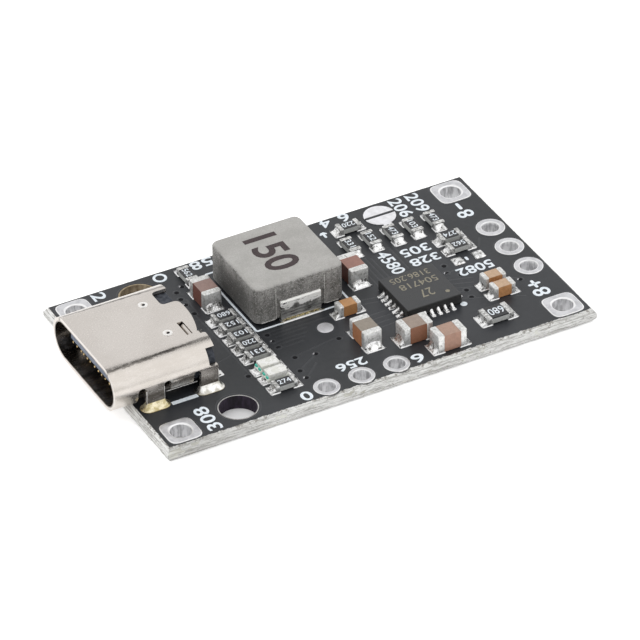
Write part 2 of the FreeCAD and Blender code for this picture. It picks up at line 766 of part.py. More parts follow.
def make_housing(contacts, plate):
    """The moulded insulator: a block in the shell's rear, the tongue and a foot on the board."""
    outline = Outline("housing_outline")
    gap = S.shell_wall + S.housing_clearance
    outline.stadium(0, 0, S.shell_width - 2 * gap, S.shell_height - 2 * gap)
    core = add("Part::Extrusion", "housing_core")
    core.Base = outline.sketch
    core.DirMode = "Normal"
    core.Solid = True
    bind(core, LengthFwd=S.housing_depth - S.housing_end_inset)
    turn = FreeCAD.Rotation(Y_AXIS, Z_AXIS, X_AXIS, "ZXY")
    put_at(outline.sketch, SHELL_REAR - S.housing_depth, 0, SHELL_MIDDLE, turn)

    tongue_x = (SHELL_FRONT + S.tongue_inset, SHELL_REAR - S.housing_depth + gap)
    tongue = block(
        "tongue_block", tongue_x,
        spread(Size.of(0), S.tongue_width), spread(SHELL_MIDDLE, S.tongue_thickness),
    )
    doc.recompute()
    tip = add("Part::Chamfer", "tongue")
    tip.Base = tongue
    tip.Edges = [
        (index + 1, S.tongue_chamfer.number, S.tongue_chamfer.number)
        for index, edge in enumerate(tongue.Shape.Edges)
        if all(abs(v.X - tongue_x[0].number) < 1e-6 for v in edge.Vertexes)
    ]
    foot_x = (
        SHELL_REAR - S.floor_cut_length + S.housing_clearance,
        SHELL_REAR - S.housing_end_inset,
    )
    foot = block(
        "housing_foot", foot_x, spread(Size.of(0), S.housing_foot_width),
        (BOARD_TOP, SHELL_MIDDLE),
    )
    solid = fuse("housing_solid", [core, tip, foot])
    return cut("socket_housing", solid, fuse("housing_channels", contacts + [plate]))


def make_inductor():
    """The moulded inductor and its two wrapped terminals."""
    floor = SEAT + S.terminal_thickness
    ceiling = BOARD_TOP + S.inductor_height
    near = S.inductor_y - S.inductor_width / 2
    far = S.inductor_y + S.inductor_width / 2
    terminals = []
    recesses = []
    for side, face, label in ((-1, near, "near"), (1, far, "far")):
        inner = face - side * S.terminal_seat
        outer = inner + side * S.terminal_thickness
        wall_y = (outer, inner) if side < 0 else (inner, outer)
        x = spread(S.inductor_x, S.terminal_width)
        bend = BOARD_TOP + S.terminal_bend
        foot_end = outer - side * S.terminal_foot
        tab_end = outer - side * S.terminal_tab
        foot_y = (outer, foot_end) if side < 0 else (foot_end, outer)
        tab_y = (outer, tab_end) if side < 0 else (tab_end, outer)
        bent = fuse(label + "_terminal_bent", [
            block(label + "_terminal_wall", x, wall_y, (SEAT, bend)),
            block(label + "_terminal_foot", x, foot_y, (SEAT, floor)),
            block(label + "_terminal_tab", x, tab_y, (bend - S.terminal_thickness, bend)),
        ])
        doc.recompute()
        terminal = add("Part::Fillet", label + "_terminal")
        terminal.Base = bent
        terminal.Edges = [
            (index + 1, S.terminal_round.number, S.terminal_round.number)
            for index, edge in enumerate(bent.Shape.Edges)
            if is_outer_bend(edge, outer.number, SEAT.number, bend.number)
        ]
        terminals.append(terminal)
        recess_y = (face - 1, inner) if side < 0 else (inner, face + 1)
        recesses.append(block(
            label + "_recess", spread(S.inductor_x, S.recess_width), recess_y, (SEAT, bend),
        ))

    body = add("PartDesign::Body", "inductor_moulding")
    outline = Outline("moulding_outline", body, "XY_Plane", floor)
    outline.rectangle(
        spread(S.inductor_x, S.inductor_length), spread(S.inductor_y, S.inductor_width),
    )
    pad = body.newObject("PartDesign::Pad", "moulding")
    pad.Profile = outline.sketch
    bind(pad, Length=ceiling - floor)
    doc.recompute()
    corners = body.newObject("PartDesign::Fillet", "moulding_corners")
    corners.Base = (pad, edge_names(pad.Shape, is_upright))
    bind(corners, Radius=S.inductor_corner)
    doc.recompute()
    rim = body.newObject("PartDesign::Chamfer", "moulding_rim")
    rim.Base = (corners, edge_names(corners.Shape, lambda edge: is_level(edge, ceiling.number)))
    bind(rim, Size=S.inductor_edge)
    doc.recompute()
    body.Tip = rim
    core = cut("inductor_core", body, fuse("inductor_tools", recesses + terminals))
    return core, group("inductor_terminals", terminals)


def is_outer_bend(edge, y, low, high):
    """Tell whether an edge is one of a terminal's two outer bends."""
    if not all(abs(vertex.Y - y) < 1e-6 for vertex in edge.Vertexes):
        return False
    heights = [vertex.Z for vertex in edge.Vertexes]
    return max(heights) - min(heights) < 1e-6 and min(abs(heights[0] - low), abs(heights[0] - high)) < 1e-6


def is_level(edge, z):
    """Tell whether an edge lies wholly at one height."""
    return all(abs(vertex.Z - z) < 1e-6 for vertex in edge.Vertexes)


def edge_names(shape, test):
    """The names of the edges that pass a test."""
    return ["Edge" + str(index + 1) for index, edge in enumerate(shape.Edges) if test(edge)]


def lead_places():
    """Centre, across and outward unit directions of the chip's 24 leads."""
    for turn in range(4):
        outward = (math.cos(turn * math.pi / 2), math.sin(turn * math.pi / 2))
        outward = (round(outward[0]), round(outward[1]))
        across = (-outward[1], outward[0])
        for step in (-2.5, -1.5, -0.5, 0.5, 1.5, 2.5):
            yield outward, across, step


def side_block(name, outward, across, step, width, inner, outer, z):
    """A block beside the chip, between two distances out from its middle."""
    along = step * S.lead_pitch
    middle = (inner + outer) / 2
    centre_x = S.chip_x + outward[0] * middle + across[0] * along
    centre_y = S.chip_y + outward[1] * middle + across[1] * along
    depth = outer - inner
    size_x = depth if outward[0] else width
    size_y = depth if outward[1] else width
    return block(name, spread(centre_x, size_x), spread(centre_y, size_y), z)


def make_chip():
    """The chip's moulded body and the group of its leads and heat pad."""
    half = S.chip_side / 2
    z = (SEAT, SEAT + S.lead_height)
    leads = [
        side_block("lead_" + str(index), outward, across, step, S.lead_width,
                   half - S.lead_length, half + S.lead_proud, z)
        for index, (outward, across, step) in enumerate(lead_places())
    ]
    pad_x = spread(S.chip_x, S.chip_pad_side)
    pad_y = spread(S.chip_y, S.chip_pad_side)
    leads.append(block("heat_pad", pad_x, pad_y, z))
    body = block(
        "chip_block", spread(S.chip_x, S.chip_side), spread(S.chip_y, S.chip_side),
        (SEAT, BOARD_TOP + S.chip_height),
    )
    doc.recompute()
    edged = add("Part::Chamfer", "chip_edged")
    edged.Base = body
    top = BOARD_TOP.number + S.chip_height.number
    edged.Edges = [
        (index + 1, S.chip_edge.number, S.chip_edge.number)
        for index, edge in enumerate(body.Shape.Edges)
        if is_level(edge, top)
    ]
    chip = cut("charger_chip", edged, fuse("chip_tools", leads))
    return chip, group("charger_chip_leads", leads)


def chip_lands():
    """The lands under the chip's leads and heat pad."""
    half = S.chip_side / 2
    z = (BOARD_TOP, SEAT)
    lands = [
        side_block("chip_land_" + str(index), outward, across, step, S.chip_land_width,
                   half - S.chip_land_start, half + S.chip_land_reach, z)
        for index, (outward, across, step) in enumerate(lead_places())
    ]
    pad_x = spread(S.chip_x, S.chip_pad_side)
    pad_y = spread(S.chip_y, S.chip_pad_side)
    return lands + [block("heat_pad_land", pad_x, pad_y, z)]


def socket_lands():
    """The lands under the feet of the socket's contacts."""
    pitch = S.contact_pitch
    start = SHELL_REAR - S.housing_end_inset
    x = (start, start + S.tail_land_length)
    wide = S.tail_land_width + 2 * S.tail_pair_offset
    lands = []
    for side in (-1, 1):
        for step in (0.5, 1.5, 2.5, 3.5):
            y = spread(side * step * pitch, S.tail_land_width)
            lands.append(block("contact_land", x, y, (BOARD_TOP, SEAT)))
        for tail in (S.supply_tail_y, S.ground_tail_y):
            lands.append(block("paired_land", x, spread(side * tail, wide), (BOARD_TOP, SEAT)))
    return lands


def inductor_lands():
    """The two lands under the inductor's terminals."""
    lands = []
    for side in (-1, 1):
        outer = S.inductor_y + side * (S.inductor_width / 2 + S.inductor_land_reach)
        inner = outer - side * (S.terminal_foot + S.inductor_land_reach)
        y = (outer, inner) if side < 0 else (inner, outer)
        lands.append(block("inductor_land", spread(S.inductor_x, S.terminal_width), y,
                           (BOARD_TOP, SEAT)))
    return lands


class Chip:
    """One two-terminal part: its centre, turn and the sizes of its kind."""

    def __init__(self, name, kind):
        self.name = name
        self.x, self.y = part_place(name)
        self.turn = FreeCAD.Rotation(Z_AXIS, PLACES[name][4])
        self.length = getattr(S, kind + "_length")
        self.width = getattr(S, kind + "_width")
        self.height = getattr(S, kind + "_height")
        self.cap = getattr(S, kind + "_cap")

    def seat(self, thing, z):
        """Place something drawn about the part's own centre."""
        return put_at(thing, self.x, self.y, z, self.turn)

    def end_caps(self, height, wall):
        """The two wrapped metal ends, as separate solids."""
        caps = []
        middle = Size.of(0)
        for side, label in ((-1, "a"), (1, "b")):
            outer = side * self.length / 2
            inner = side * (self.length / 2 - self.cap)
            hollow = side * (self.length / 2 - wall)
            x = (outer, inner) if side < 0 else (inner, outer)
            hollow_x = (hollow, inner + 1) if side < 0 else (inner - 1, hollow)
            name = self.name + "_cap_" + label
            shell = block(name + "_shell", x, spread(middle, self.width), (middle, height))
            core = block(name + "_core", hollow_x, spread(middle, self.width + 1),
                         (wall, height - wall))
            caps.append(cut(name, shell, core))
        return self.seat(group(self.name + "_caps", caps), SEAT)

    def lands(self):
        """The two lands under the ends."""
        middle = Size.of(0)
        outer = self.length / 2 + S.land_reach
        inner = self.length / 2 - self.cap - S.land_margin
        y = spread(middle, self.width + 2 * S.land_margin)
        z = (middle, S.land_thickness)
        pair = [
            block(self.name + "_land_a", (-outer, -inner), y, z),
            block(self.name + "_land_b", (inner, outer), y, z),
        ]
        return self.seat(group(self.name + "_lands", pair), BOARD_TOP)

    def solder(self):
        """The solder that climbs each end from its land."""
        fillets = []
        for turn, label in ((180, "a"), (0, "b")):
            wedge = add("Part::Wedge", self.name + "_fillet_" + label)
            bind(
                wedge,
                Xmin=0, Xmax=S.solder_reach, Ymin=0, Ymax=self.height * S.solder_share,
                Zmin=-self.width / 2, Zmax=self.width / 2,
                X2min=0, X2max=S.solder_reach / 8,
                Z2min=-self.width * 3 / 8, Z2max=self.width * 3 / 8,
            )
            upright = FreeCAD.Rotation(Z_AXIS, turn) * FreeCAD.Rotation(X_AXIS, 90)
            side = 1 if turn == 0 else -1
            put_at(wedge, side * self.length / 2, 0, 0, upright)
            fillets.append(wedge)
        return self.seat(group(self.name + "_solder", fillets), SEAT)


def make_resistor(part):
    """A flat ceramic slab with a dark glaze between its ends."""
    middle = Size.of(0)
    wall = S.cap_wall
    slab = block(
        part.name + "_slab", spread(middle, part.length - 2 * wall), spread(middle, part.width),
        (wall, part.height - wall),
    )
    glaze = block(
        part.name + "_glaze", spread(middle, part.length - 2 * part.cap),
        spread(middle, part.width), (part.height - wall, part.height),
    )
    part.seat(fuse(part.name, [slab, glaze]), SEAT)


def make_capacitor(part):
    """A ceramic block that fills the space between and inside its ends."""
    middle = Size.of(0)
    wall = S.cap_wall
    core = block(
        part.name + "_core", spread(middle, part.length - 2 * wall), spread(middle, part.width),
        (wall, part.height - wall),
    )
    middle_x = spread(middle, part.length - 2 * part.cap)
    waist = block(part.name + "_waist", middle_x, spread(middle, part.width), (middle, part.height))
    part.seat(fuse(part.name, [core, waist]), SEAT)


def make_lamp(part):
    """A lamp's base slab, and its clear lens with sloped ends."""
    middle = Size.of(0)
    wall = S.cap_wall
    base = block(
        part.name + "_base_core", spread(middle, part.length - 2 * wall),
        spread(middle, part.width), (wall, S.lamp_base_height - wall),
    )
    waist = block(
        part.name + "_base_waist", spread(middle, part.length - 2 * part.cap),
        spread(middle, part.width), (middle, S.lamp_base_height),
    )
    part.seat(fuse(part.name + "_base", [base, waist]), SEAT)
    lens = add("Part::Wedge", part.name + "_lens_block")
    half = S.lamp_lens_length / 2
    bind(
        lens,
        Xmin=-half, Xmax=half, Ymin=0, Ymax=part.height - S.lamp_base_height,
        Zmin=-part.width / 2, Zmax=part.width / 2,
        X2min=S.lamp_lens_taper - half, X2max=half - S.lamp_lens_taper,
        Z2min=-part.width / 2, Z2max=part.width / 2,
    )
    put_at(lens, 0, 0, S.lamp_base_height, FreeCAD.Rotation(X_AXIS, 90))
    part.seat(group(part.name + "_lens", [lens]), SEAT)


def make_small_parts():
    """Every two-terminal part, with its ends, lands and solder in shared groups."""
    lands = []
    solder = []
    caps = {"resistor_end_caps": [], "capacitor_end_caps": [], "lamp_end_caps": []}
    kinds = (
        (SMALL_RESISTORS, "small_resistor", make_resistor, "resistor_end_caps"),
        (LARGE_RESISTORS, "large_resistor", make_resistor, "resistor_end_caps"),
        (SMALL_CAPACITORS, "small_capacitor", make_capacitor, "capacitor_end_caps"),
        (LARGE_CAPACITORS, "large_capacitor", make_capacitor, "capacitor_end_caps"),
        (LAMPS, "lamp", make_lamp, "lamp_end_caps"),
    )
    labels = []
    for names, kind, make, cap_group in kinds:
        for name in names:
            part = Chip(name, kind)
            make(part)
            height = S.lamp_base_height if kind == "lamp" else part.height
            caps[cap_group].append(part.end_caps(height, S.cap_wall))
            lands.append(part.lands())
            solder.append(part.solder())
            labels += [name + "_base", name + "_lens"] if kind == "lamp" else [name]
    for name, things in caps.items():
        group(name, things)
    group("solder_fillets", solder)
    return labels + list(caps) + ["solder_fillets"], lands


def spare_lands():
    """Two lands with no part on them, as wide apart as a small resistor's."""
    outer = S.small_resistor_length / 2 + S.land_reach
    inner = S.land_gap / 2
    x = S.board_length / 2 - S.spare_lands_inset_x
    y = spread(S.board_width / 2 - S.spare_lands_inset_y, S.small_resistor_width)
    z = (BOARD_TOP, SEAT)
    return [
        block("spare_land_a", (x - outer, x - inner), y, z),
        block("spare_land_b", (x + inner, x + outer), y, z),
    ]


def make_flat_pads():
    """The bare test pad, and the round jumper pad split in two."""
    rod("test_pad", S.test_pad_across / 2, S.land_thickness, S.test_pad_x, S.test_pad_y, BOARD_TOP)
    resistor_x, resistor_y = part_place("charge_voltage_resistor")
    x = resistor_x + S.small_resistor_width / 2
    far_land = resistor_y + S.small_resistor_length / 2 + S.land_reach
    y = far_land + S.jumper_neck_length
    disc = rod("jumper_disc", S.jumper_across / 2, S.land_thickness, x, y, BOARD_TOP)
    neck = block("jumper_neck_strip", spread(x, S.jumper_neck), (far_land, y), (BOARD_TOP, SEAT))
    split = block(
        "jumper_split", spread(x, S.jumper_across + 1), spread(y, S.jumper_gap), (BOARD_TOP, SEAT),
    )
    cut("jumper_pads", fuse("jumper_whole", [disc, neck]), split)


def build():
    """Make every sub-part and return the names of those that are written."""
    make_board()
    make_corner_pads()
    round_pads("end_pads", END_ROW, S.end_pad_across, S.end_pad_bore)
    round_pads("side_pads", SIDE_ROW, S.side_pad_across, S.side_pad_bore)
    make_flat_pads()
    shell = make_shell()
    make_leg_solder(shell)
    contacts = make_contacts()
    plate = make_mid_plate()
    make_housing(contacts, plate)
    make_inductor()
    make_chip()
    small, lands = make_small_parts()
    group("component_lands",
          lands + chip_lands() + socket_lands() + inductor_lands() + spare_lands())
    doc.recompute()
    return [
        "board", "corner_pads", "end_pads", "side_pads", "test_pad", "jumper_pads",
        "socket_shell", "socket_housing", "socket_mid_plate", "socket_upper_contacts",
        "socket_lower_contacts", "socket_leg_solder", "inductor_core", "inductor_terminals",
        "charger_chip", "charger_chip_leads", "component_lands",
    ] + small


def find(label):
    """The object of a label."""
    found = doc.getObjectsByLabel(label)
    if len(found) != 1:
        raise ValueError("no single object is labelled " + label)
    return found[0]


def check_all(labels):
    """Stop if any object failed or any sub-part has no valid solid."""
    for thing in doc.Objects:
        if "Invalid" in thing.State or "Error" in thing.State:
            raise ValueError(thing.Label + " failed: " + str(thing.State))
    for label in labels:
        shape = find(label).Shape
        if shape.isNull() or not shape.isValid() or not shape.Solids:
            raise ValueError(label + " has no valid solid")


def main():
    """Build, check and write every sub-part."""
    labels = build()
    check_all(labels)
    os.makedirs("parts", exist_ok=True)
    for label in labels:
        shape = find(label).Shape
        shape.exportStep("parts/" + label + ".step")
        box = shape.BoundBox
        print(label, len(shape.Solids), "solids", round(shape.Volume, 4), "mm3",
              "x", round(box.XMin, 2), round(box.XMax, 2), "y", round(box.YMin, 2),
              round(box.YMax, 2), "z", round(box.ZMin, 3), round(box.ZMax, 3))


main()
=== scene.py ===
"""Looks of the lithium battery charger module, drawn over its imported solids.

Lengths here are millimetres, and a mesh is brought to metres when it is made. The frame is the
model's own: the board lies on z = 0 with its top at z = 1, +X runs to the battery pads and -X to
the socket's mouth.
"""

import json
import math

import bmesh
import bpy
import numpy as np
from mathutils import Matrix, Vector


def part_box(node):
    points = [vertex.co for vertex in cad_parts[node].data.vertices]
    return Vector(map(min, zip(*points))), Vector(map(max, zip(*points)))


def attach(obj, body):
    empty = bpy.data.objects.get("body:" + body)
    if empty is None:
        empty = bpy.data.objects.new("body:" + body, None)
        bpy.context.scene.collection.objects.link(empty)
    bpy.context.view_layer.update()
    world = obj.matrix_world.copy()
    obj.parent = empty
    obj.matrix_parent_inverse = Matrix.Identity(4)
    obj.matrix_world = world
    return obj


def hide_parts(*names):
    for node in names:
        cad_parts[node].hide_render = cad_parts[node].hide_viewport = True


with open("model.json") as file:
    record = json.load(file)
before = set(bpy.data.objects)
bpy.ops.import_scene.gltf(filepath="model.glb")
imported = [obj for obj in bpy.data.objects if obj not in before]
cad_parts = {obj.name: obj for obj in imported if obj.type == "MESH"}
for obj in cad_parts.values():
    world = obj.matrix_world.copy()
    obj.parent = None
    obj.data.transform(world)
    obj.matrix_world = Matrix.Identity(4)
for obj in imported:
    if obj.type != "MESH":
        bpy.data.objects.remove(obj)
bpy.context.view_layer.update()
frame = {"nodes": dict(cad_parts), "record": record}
SLOTS = {part["node"]: part["material_slot"] for part in frame["record"]["subparts"]}

MM = 0.001
QUARTER = math.pi / 2

# Heights of the board's top and of the parts' undersides
BOARD_TOP = 1.0
SEAT = 1.05

# Half the board's length and width, and how far its scored edges are cut in
HALF_LONG = 15.6
HALF_WIDE = 9.0
SCORE = 0.25

# Near and far side of the board
SIDES = (-1, 1)

# Middles of pads, holes, legs and parts on the board
CORNER_PADS = [(x, y) for x in (-13.93, 13.93) for y in (-7.47, 7.47)]
END_PADS = [(14.2, y) for y in (-2.54, 0, 2.54)]
SIDE_PADS = [(x, -7.87) for x in (-3.68, -1.14, 1.4)]
TEST_PAD = (-0.7, -2.12)
NEAR_HOLE = (-9.6, -7.02)
FAR_HOLE = (-9.6, 7.02)
SHELL_LEGS = [(x, side * 4.32) for x in (-14.125, -10.255) for side in SIDES]
CHIP = (6.3, -2.1)

# The socket's tails: the middle of their lands along X, and each tail's distance from the middle
# plane with half the width of its land
TAILS_X = -9.2
TAILS = ((0.25, 0.16), (0.75, 0.16), (1.25, 0.16), (1.75, 0.16), (2.4, 0.31), (3.2, 0.31))

# The corner pads' side, and the radii of round pads and of the bare holes
CORNER_SIDE = 2.31
END_RADIUS = 0.975
SIDE_RADIUS = 0.875
TEST_RADIUS = 0.55
HOLE_RADIUS = 1.25

# The shell's section: the height of its middle, half its flat part, and the line of its bend
SHELL_MIDDLE = 2.6
SHELL_FLAT = 2.87
BEND_LINE = 2.842

# Camera: its place in metres, the way back from the board, its turn and roll in degrees, its
# lens and film, and the nearest and farthest thing that it sees in metres
CAMERA_PLACE = (-0.141169, -0.272063, 0.218964)
CAMERA_BACK = (-0.3748207, -0.72230091, 0.58119776)
CAMERA_TURN = -27.43
CAMERA_ROLL = -1.22
CAMERA_LENS = 325.6
CAMERA_FILM = 36
CAMERA_REACH = (0.02, 10)

# The floor's half size in metres, its height, its glow where it lies open, and how far inside the
# board's edges that glow is measured from
FLOOR_REACH = 1.5
FLOOR_HEIGHT = -0.03
FLOOR_GLOW = 0.45
FLOOR_INSET = 0.2

# The grey of the surround away from the camera's view
SURROUND = 0.62


# Camera, floor and light

def into_scene(name, data):
    """A new object in the scene."""
    thing = bpy.data.objects.new(name, data)
    bpy.context.scene.collection.objects.link(thing)
    return thing


def set_camera():
    """A long lens at the photograph's angle, with its slight roll."""
    back = Vector(CAMERA_BACK)
    turn = math.radians(CAMERA_TURN)
    across = Vector((math.cos(turn), math.sin(turn), 0))
    up = back.cross(across)
    roll = math.radians(CAMERA_ROLL)
    right = across * math.cos(roll) + up * math.sin(roll)
    top = up * math.cos(roll) - across * math.sin(roll)
    data = bpy.data.cameras.new("camera")
    data.lens = CAMERA_LENS
    data.sensor_width = CAMERA_FILM
    data.clip_start, data.clip_end = CAMERA_REACH
    camera = into_scene("camera", data)
    turned = Matrix((right, top, back)).transposed().to_4x4()
    camera.matrix_world = Matrix.Translation(CAMERA_PLACE) @ turned
    bpy.context.scene.camera = camera


def seen_white(tree, grey):
    """A grey that is white to the camera, to gloss and to glass."""
    path = tree.nodes.new("ShaderNodeLightPath")
    ray = path.outputs["Is Camera Ray"]
    for name in ("Is Glossy Ray", "Is Transmission Ray"):
        either = tree.nodes.new("ShaderNodeMath")
        either.operation = "MAXIMUM"
        tree.links.new(ray, either.inputs[0])
        tree.links.new(path.outputs[name], either.inputs[1])
        ray = either.outputs[0]
    blend = tree.nodes.new("ShaderNodeMix")
    blend.data_type = "RGBA"
    blend.inputs[6].default_value = (grey, grey, grey, 1)
    blend.inputs[7].default_value = (1, 1, 1, 1)
    tree.links.new(ray, blend.inputs[0])
    return blend.outputs[2]


def set_world():
    """An even pale surround."""
    world = bpy.data.worlds.new("surround")
    bpy.context.scene.world = world
    world.use_nodes = True
    tree = world.node_tree
    tree.links.new(seen_white(tree, SURROUND), tree.nodes["Background"].inputs["Color"])


def flat_sheet(name, half_wide, half_tall, height=0.0):
    """The mesh of a level rectangle about the origin, in metres."""
    signs = ((-1, -1), (1, -1), (1, 1), (-1, 1))
    corners = [(x * half_wide, y * half_tall, height) for x, y in signs]
    mesh = bpy.data.meshes.new(name)
    mesh.from_pydata(corners, [], [(0, 1, 2, 3)])
    return mesh


def set_floor():
    """A wide white floor just under the board, a little brighter where it lies open."""
    mesh = flat_sheet("floor", FLOOR_REACH, FLOOR_REACH, FLOOR_HEIGHT * MM)
    floor = into_scene("floor", mesh)
    paint = Finish("floor_paint", Specular_IOR_Level=0.1, Emission_Strength=FLOOR_GLOW)
    paint.color((0.97, 0.97, 0.97))
    paint.rough(0.9)
    past_end = paint.math("SUBTRACT", paint.off("X"), (HALF_LONG - FLOOR_INSET) * MM)
    past_side = paint.math("SUBTRACT", paint.off("Y"), (HALF_WIDE - FLOOR_INSET) * MM)
    open_floor = paint.range(paint.math("MAXIMUM", past_end, past_side), -1.2 * MM, -0.2 * MM)
    glow = paint.blend(open_floor, (0, 0, 0), seen_white(paint.tree, 0.0))
    paint.link(glow, paint.shader.inputs["Emission Color"])
    mesh.materials.append(paint.material)


def facing(place):
    """A matrix that sets a thing at a place, with its +Z in line from the board."""
    return Matrix.Translation(place) @ place.to_track_quat("Z", "Y").to_matrix().to_4x4()


def set_card(name, middle, half_wide, half_tall):
    """A dark card above the board, square to its line to the board, for gloss to mirror."""
    mesh = flat_sheet(name, half_wide, half_tall)
    mesh.transform(facing(Vector(middle)))
    card = into_scene(name, mesh)
    paint = Finish(name + "_paint", Specular_IOR_Level=0.0)
    paint.color((0.01, 0.01, 0.01))
    paint.rough(1.0)
    mesh.materials.append(paint.material)


def set_lamp(name, place, size, power, mirrored):
    """A square soft lamp that faces the board, seen in gloss or not."""
    data = bpy.data.lights.new(name, "AREA")
    data.size = size
    data.energy = power
    lamp = into_scene(name, data)
    lamp.visible_glossy = mirrored
    lamp.matrix_world = facing(Vector(place))


# Materials

FINISHES = {}


class Finish:
    """A procedural material, built node by node round one shader and kept by its name."""

    def __init__(self, name, **sockets):
        self.material = bpy.data.materials.new(name)
        self.material.use_nodes = True
        self.tree = self.material.node_tree
        self.shader = self.tree.nodes["Principled BSDF"]
        for socket, value in sockets.items():
            self.shader.inputs[socket.replace("_", " ")].default_value = value
        self.place = self.node("ShaderNodeTexCoord").outputs["Object"]
        FINISHES[name] = self.material

    def link(self, source, socket):
        """Join an output, or set a plain value, on an input."""
        if isinstance(source, bpy.types.NodeSocket):
            self.tree.links.new(source, socket)
        elif isinstance(source, tuple) and len(source) == 3 and len(socket.default_value) == 4:
            socket.default_value = (*source, 1)
        else:
            socket.default_value = source

    def node(self, kind, *sources, **settings):
        """A new node with its settings, and a source for each of its first inputs."""
        made = self.tree.nodes.new(kind)
        for setting, value in settings.items():
            setattr(made, setting, value)
        for source, socket in zip(sources, made.inputs):
            self.link(source, socket)
        return made

    def math(self, operation, first, second=0.0):
        """One sum on one or two values."""
        return self.node("ShaderNodeMath", first, second, operation=operation).outputs[0]

    def noise(self, size, detail=3.0, rough=0.55, stretch=(1, 1, 1)):
        """Cloudy noise whose lumps are about size wide, stretched along the axes."""
        scaled = self.node("ShaderNodeMapping", self.place)
        scaled.inputs["Scale"].default_value = [1 / (size * MM * part) for part in stretch]
        cloud = self.node("ShaderNodeTexNoise", scaled.outputs[0])
        for socket, value in (("Scale", 1.0), ("Detail", detail), ("Roughness", rough)):
            cloud.inputs[socket].default_value = value
        return cloud.outputs[0]

    def range(self, value, low, high, to_low=0.0, to_high=1.0):
        """A value moved from one range to another and held there."""
        node = self.node("ShaderNodeMapRange", value, low, high, to_low, to_high,
                         interpolation_type="SMOOTHSTEP")
        return node.outputs[0]

    def blend(self, share, first, second):
        """The first colour, turned into the second by a share."""
        node = self.node("ShaderNodeMix", share, data_type="RGBA")
        self.link(first, node.inputs[6])
        self.link(second, node.inputs[7])
        return node.outputs[2]

    def tones(self, value, low, high, first, second):
        """The first colour, turned into the second as a value goes from low to high."""
        return self.blend(self.range(value, low, high), first, second)

    def over(self, base, tone, value, low, high, share):
        """A tone laid over a base by up to a share, as a value goes from low to high."""
        return self.blend(self.range(value, low, high, 0.0, share), base, tone)

    def axis(self, name):
        """One coordinate of the place, in metres."""
        return self.node("ShaderNodeSeparateXYZ", self.place).outputs[name]

    def along(self, name, low, high, to_low=0.0, to_high=1.0):
        """A range over one coordinate, between two places in millimetres."""
        return self.range(self.axis(name), low * MM, high * MM, to_low, to_high)

    def off(self, name, middle=0.0):
        """Distance along one axis from a middle, either way, in metres."""
        return self.math("ABSOLUTE", self.math("SUBTRACT", self.axis(name), middle * MM))

    def near(self, x, y, radius):
        """One within a radius of an upright line, and nought outside it."""
        flat = self.node("ShaderNodeCombineXYZ", self.axis("X"), self.axis("Y"))
        gap = self.node("ShaderNodeVectorMath", flat.outputs[0], (x * MM, y * MM, 0),
                        operation="DISTANCE")
        return self.math("LESS_THAN", gap.outputs["Value"], radius * MM)

    def shell_depth(self):
        """Distance in metres from the socket's flat middle strip, in its cross-section."""
        side = self.math("SUBTRACT", self.off("Y"), SHELL_FLAT * MM)
        side = self.math("MAXIMUM", side, 0.0)
        height = self.math("SUBTRACT", self.axis("Z"), SHELL_MIDDLE * MM)
        squares = [self.math("MULTIPLY", leg, leg) for leg in (side, height)]
        return self.math("SQRT", self.math("ADD", *squares))

    def color(self, source):
        """Set the base colour."""
        self.link(source, self.shader.inputs["Base Color"])

    def rough(self, source):
        """Set the roughness."""
        self.link(source, self.shader.inputs["Roughness"])

    def rough_over(self, noise, low, high):
        """Set a roughness that goes from low to high over the middle of a noise."""
        self.rough(self.range(noise, 0.3, 0.7, low, high))

    def metal(self, source):
        """Set how far the surface is metal."""
        self.link(source, self.shader.inputs["Metallic"])

    def bump(self, height, depth):
        """Raise the surface by a height from nought to one, depth tall, over earlier bumps."""
        node = self.node("ShaderNodeBump")
        node.inputs["Distance"].default_value = depth * MM
        self.link(height, node.inputs["Height"])
        normal = self.shader.inputs["Normal"]
        if normal.is_linked:
            self.link(normal.links[0].from_socket, node.inputs["Normal"])
        self.link(node.outputs[0], normal)


def speckled(name, grain, share, first, second, rough, depth, **sockets):
    """A plain finish: one noise of the given grain blends two tones, over a share of its range if
    one is given, and sets the roughness and the bumps."""
    finish = Finish(name, **sockets)
    noise = finish.noise(*grain)
    finish.color(finish.blend(finish.range(noise, *share) if share else noise, first, second))
    finish.rough_over(noise, *rough)
    finish.bump(noise, depth)


def mask_over_fibre():
    """The board: dark resist on its two faces, pale fibre on its edges and in its bare holes,
    painted near-black in the near hole as shade down the hole, and tanned in the far one."""
    finish = Finish("resist_over_fibre", Specular_IOR_Level=0.38)
    coated = finish.math("GREATER_THAN", finish.off("Z", BOARD_TOP / 2), 0.4985 * MM)
    cloud = finish.noise(6.0, 2.0)
    mask = finish.tones(cloud, 0.3, 0.7, (0.023, 0.025, 0.028), (0.033, 0.035, 0.040))
    strand = finish.noise(0.5, 4.0, 0.7, (6, 6, 0.5))
    fibre = finish.tones(strand, 0.35, 0.65, (0.44, 0.43, 0.38), (0.78, 0.78, 0.73))
    streak = finish.range(finish.noise(0.5, 4.0, 0.65, (1, 1, 3)), 0.35, 0.7)
    # The near hole's fibre is painted near-black as shade down the hole; the far hole's is tan
    for hole, first, second in (
        (NEAR_HOLE, (0.012, 0.009, 0.015), (0.045, 0.032, 0.055)),
        (FAR_HOLE, (0.17, 0.13, 0.08), (0.42, 0.35, 0.25)),
    ):
        here = finish.near(*hole, 1.32)
        fibre = finish.blend(here, fibre, finish.blend(streak, first, second))
    finish.color(finish.blend(coated, fibre, mask))
    gloss = finish.range(finish.noise(0.35, 3.0), 0.3, 0.7, 0.34, 0.42)
    finish.rough(finish.blend(coated, (0.8, 0.8, 0.8), gloss))
    finish.bump(finish.noise(0.8, 2.0), 0.004)


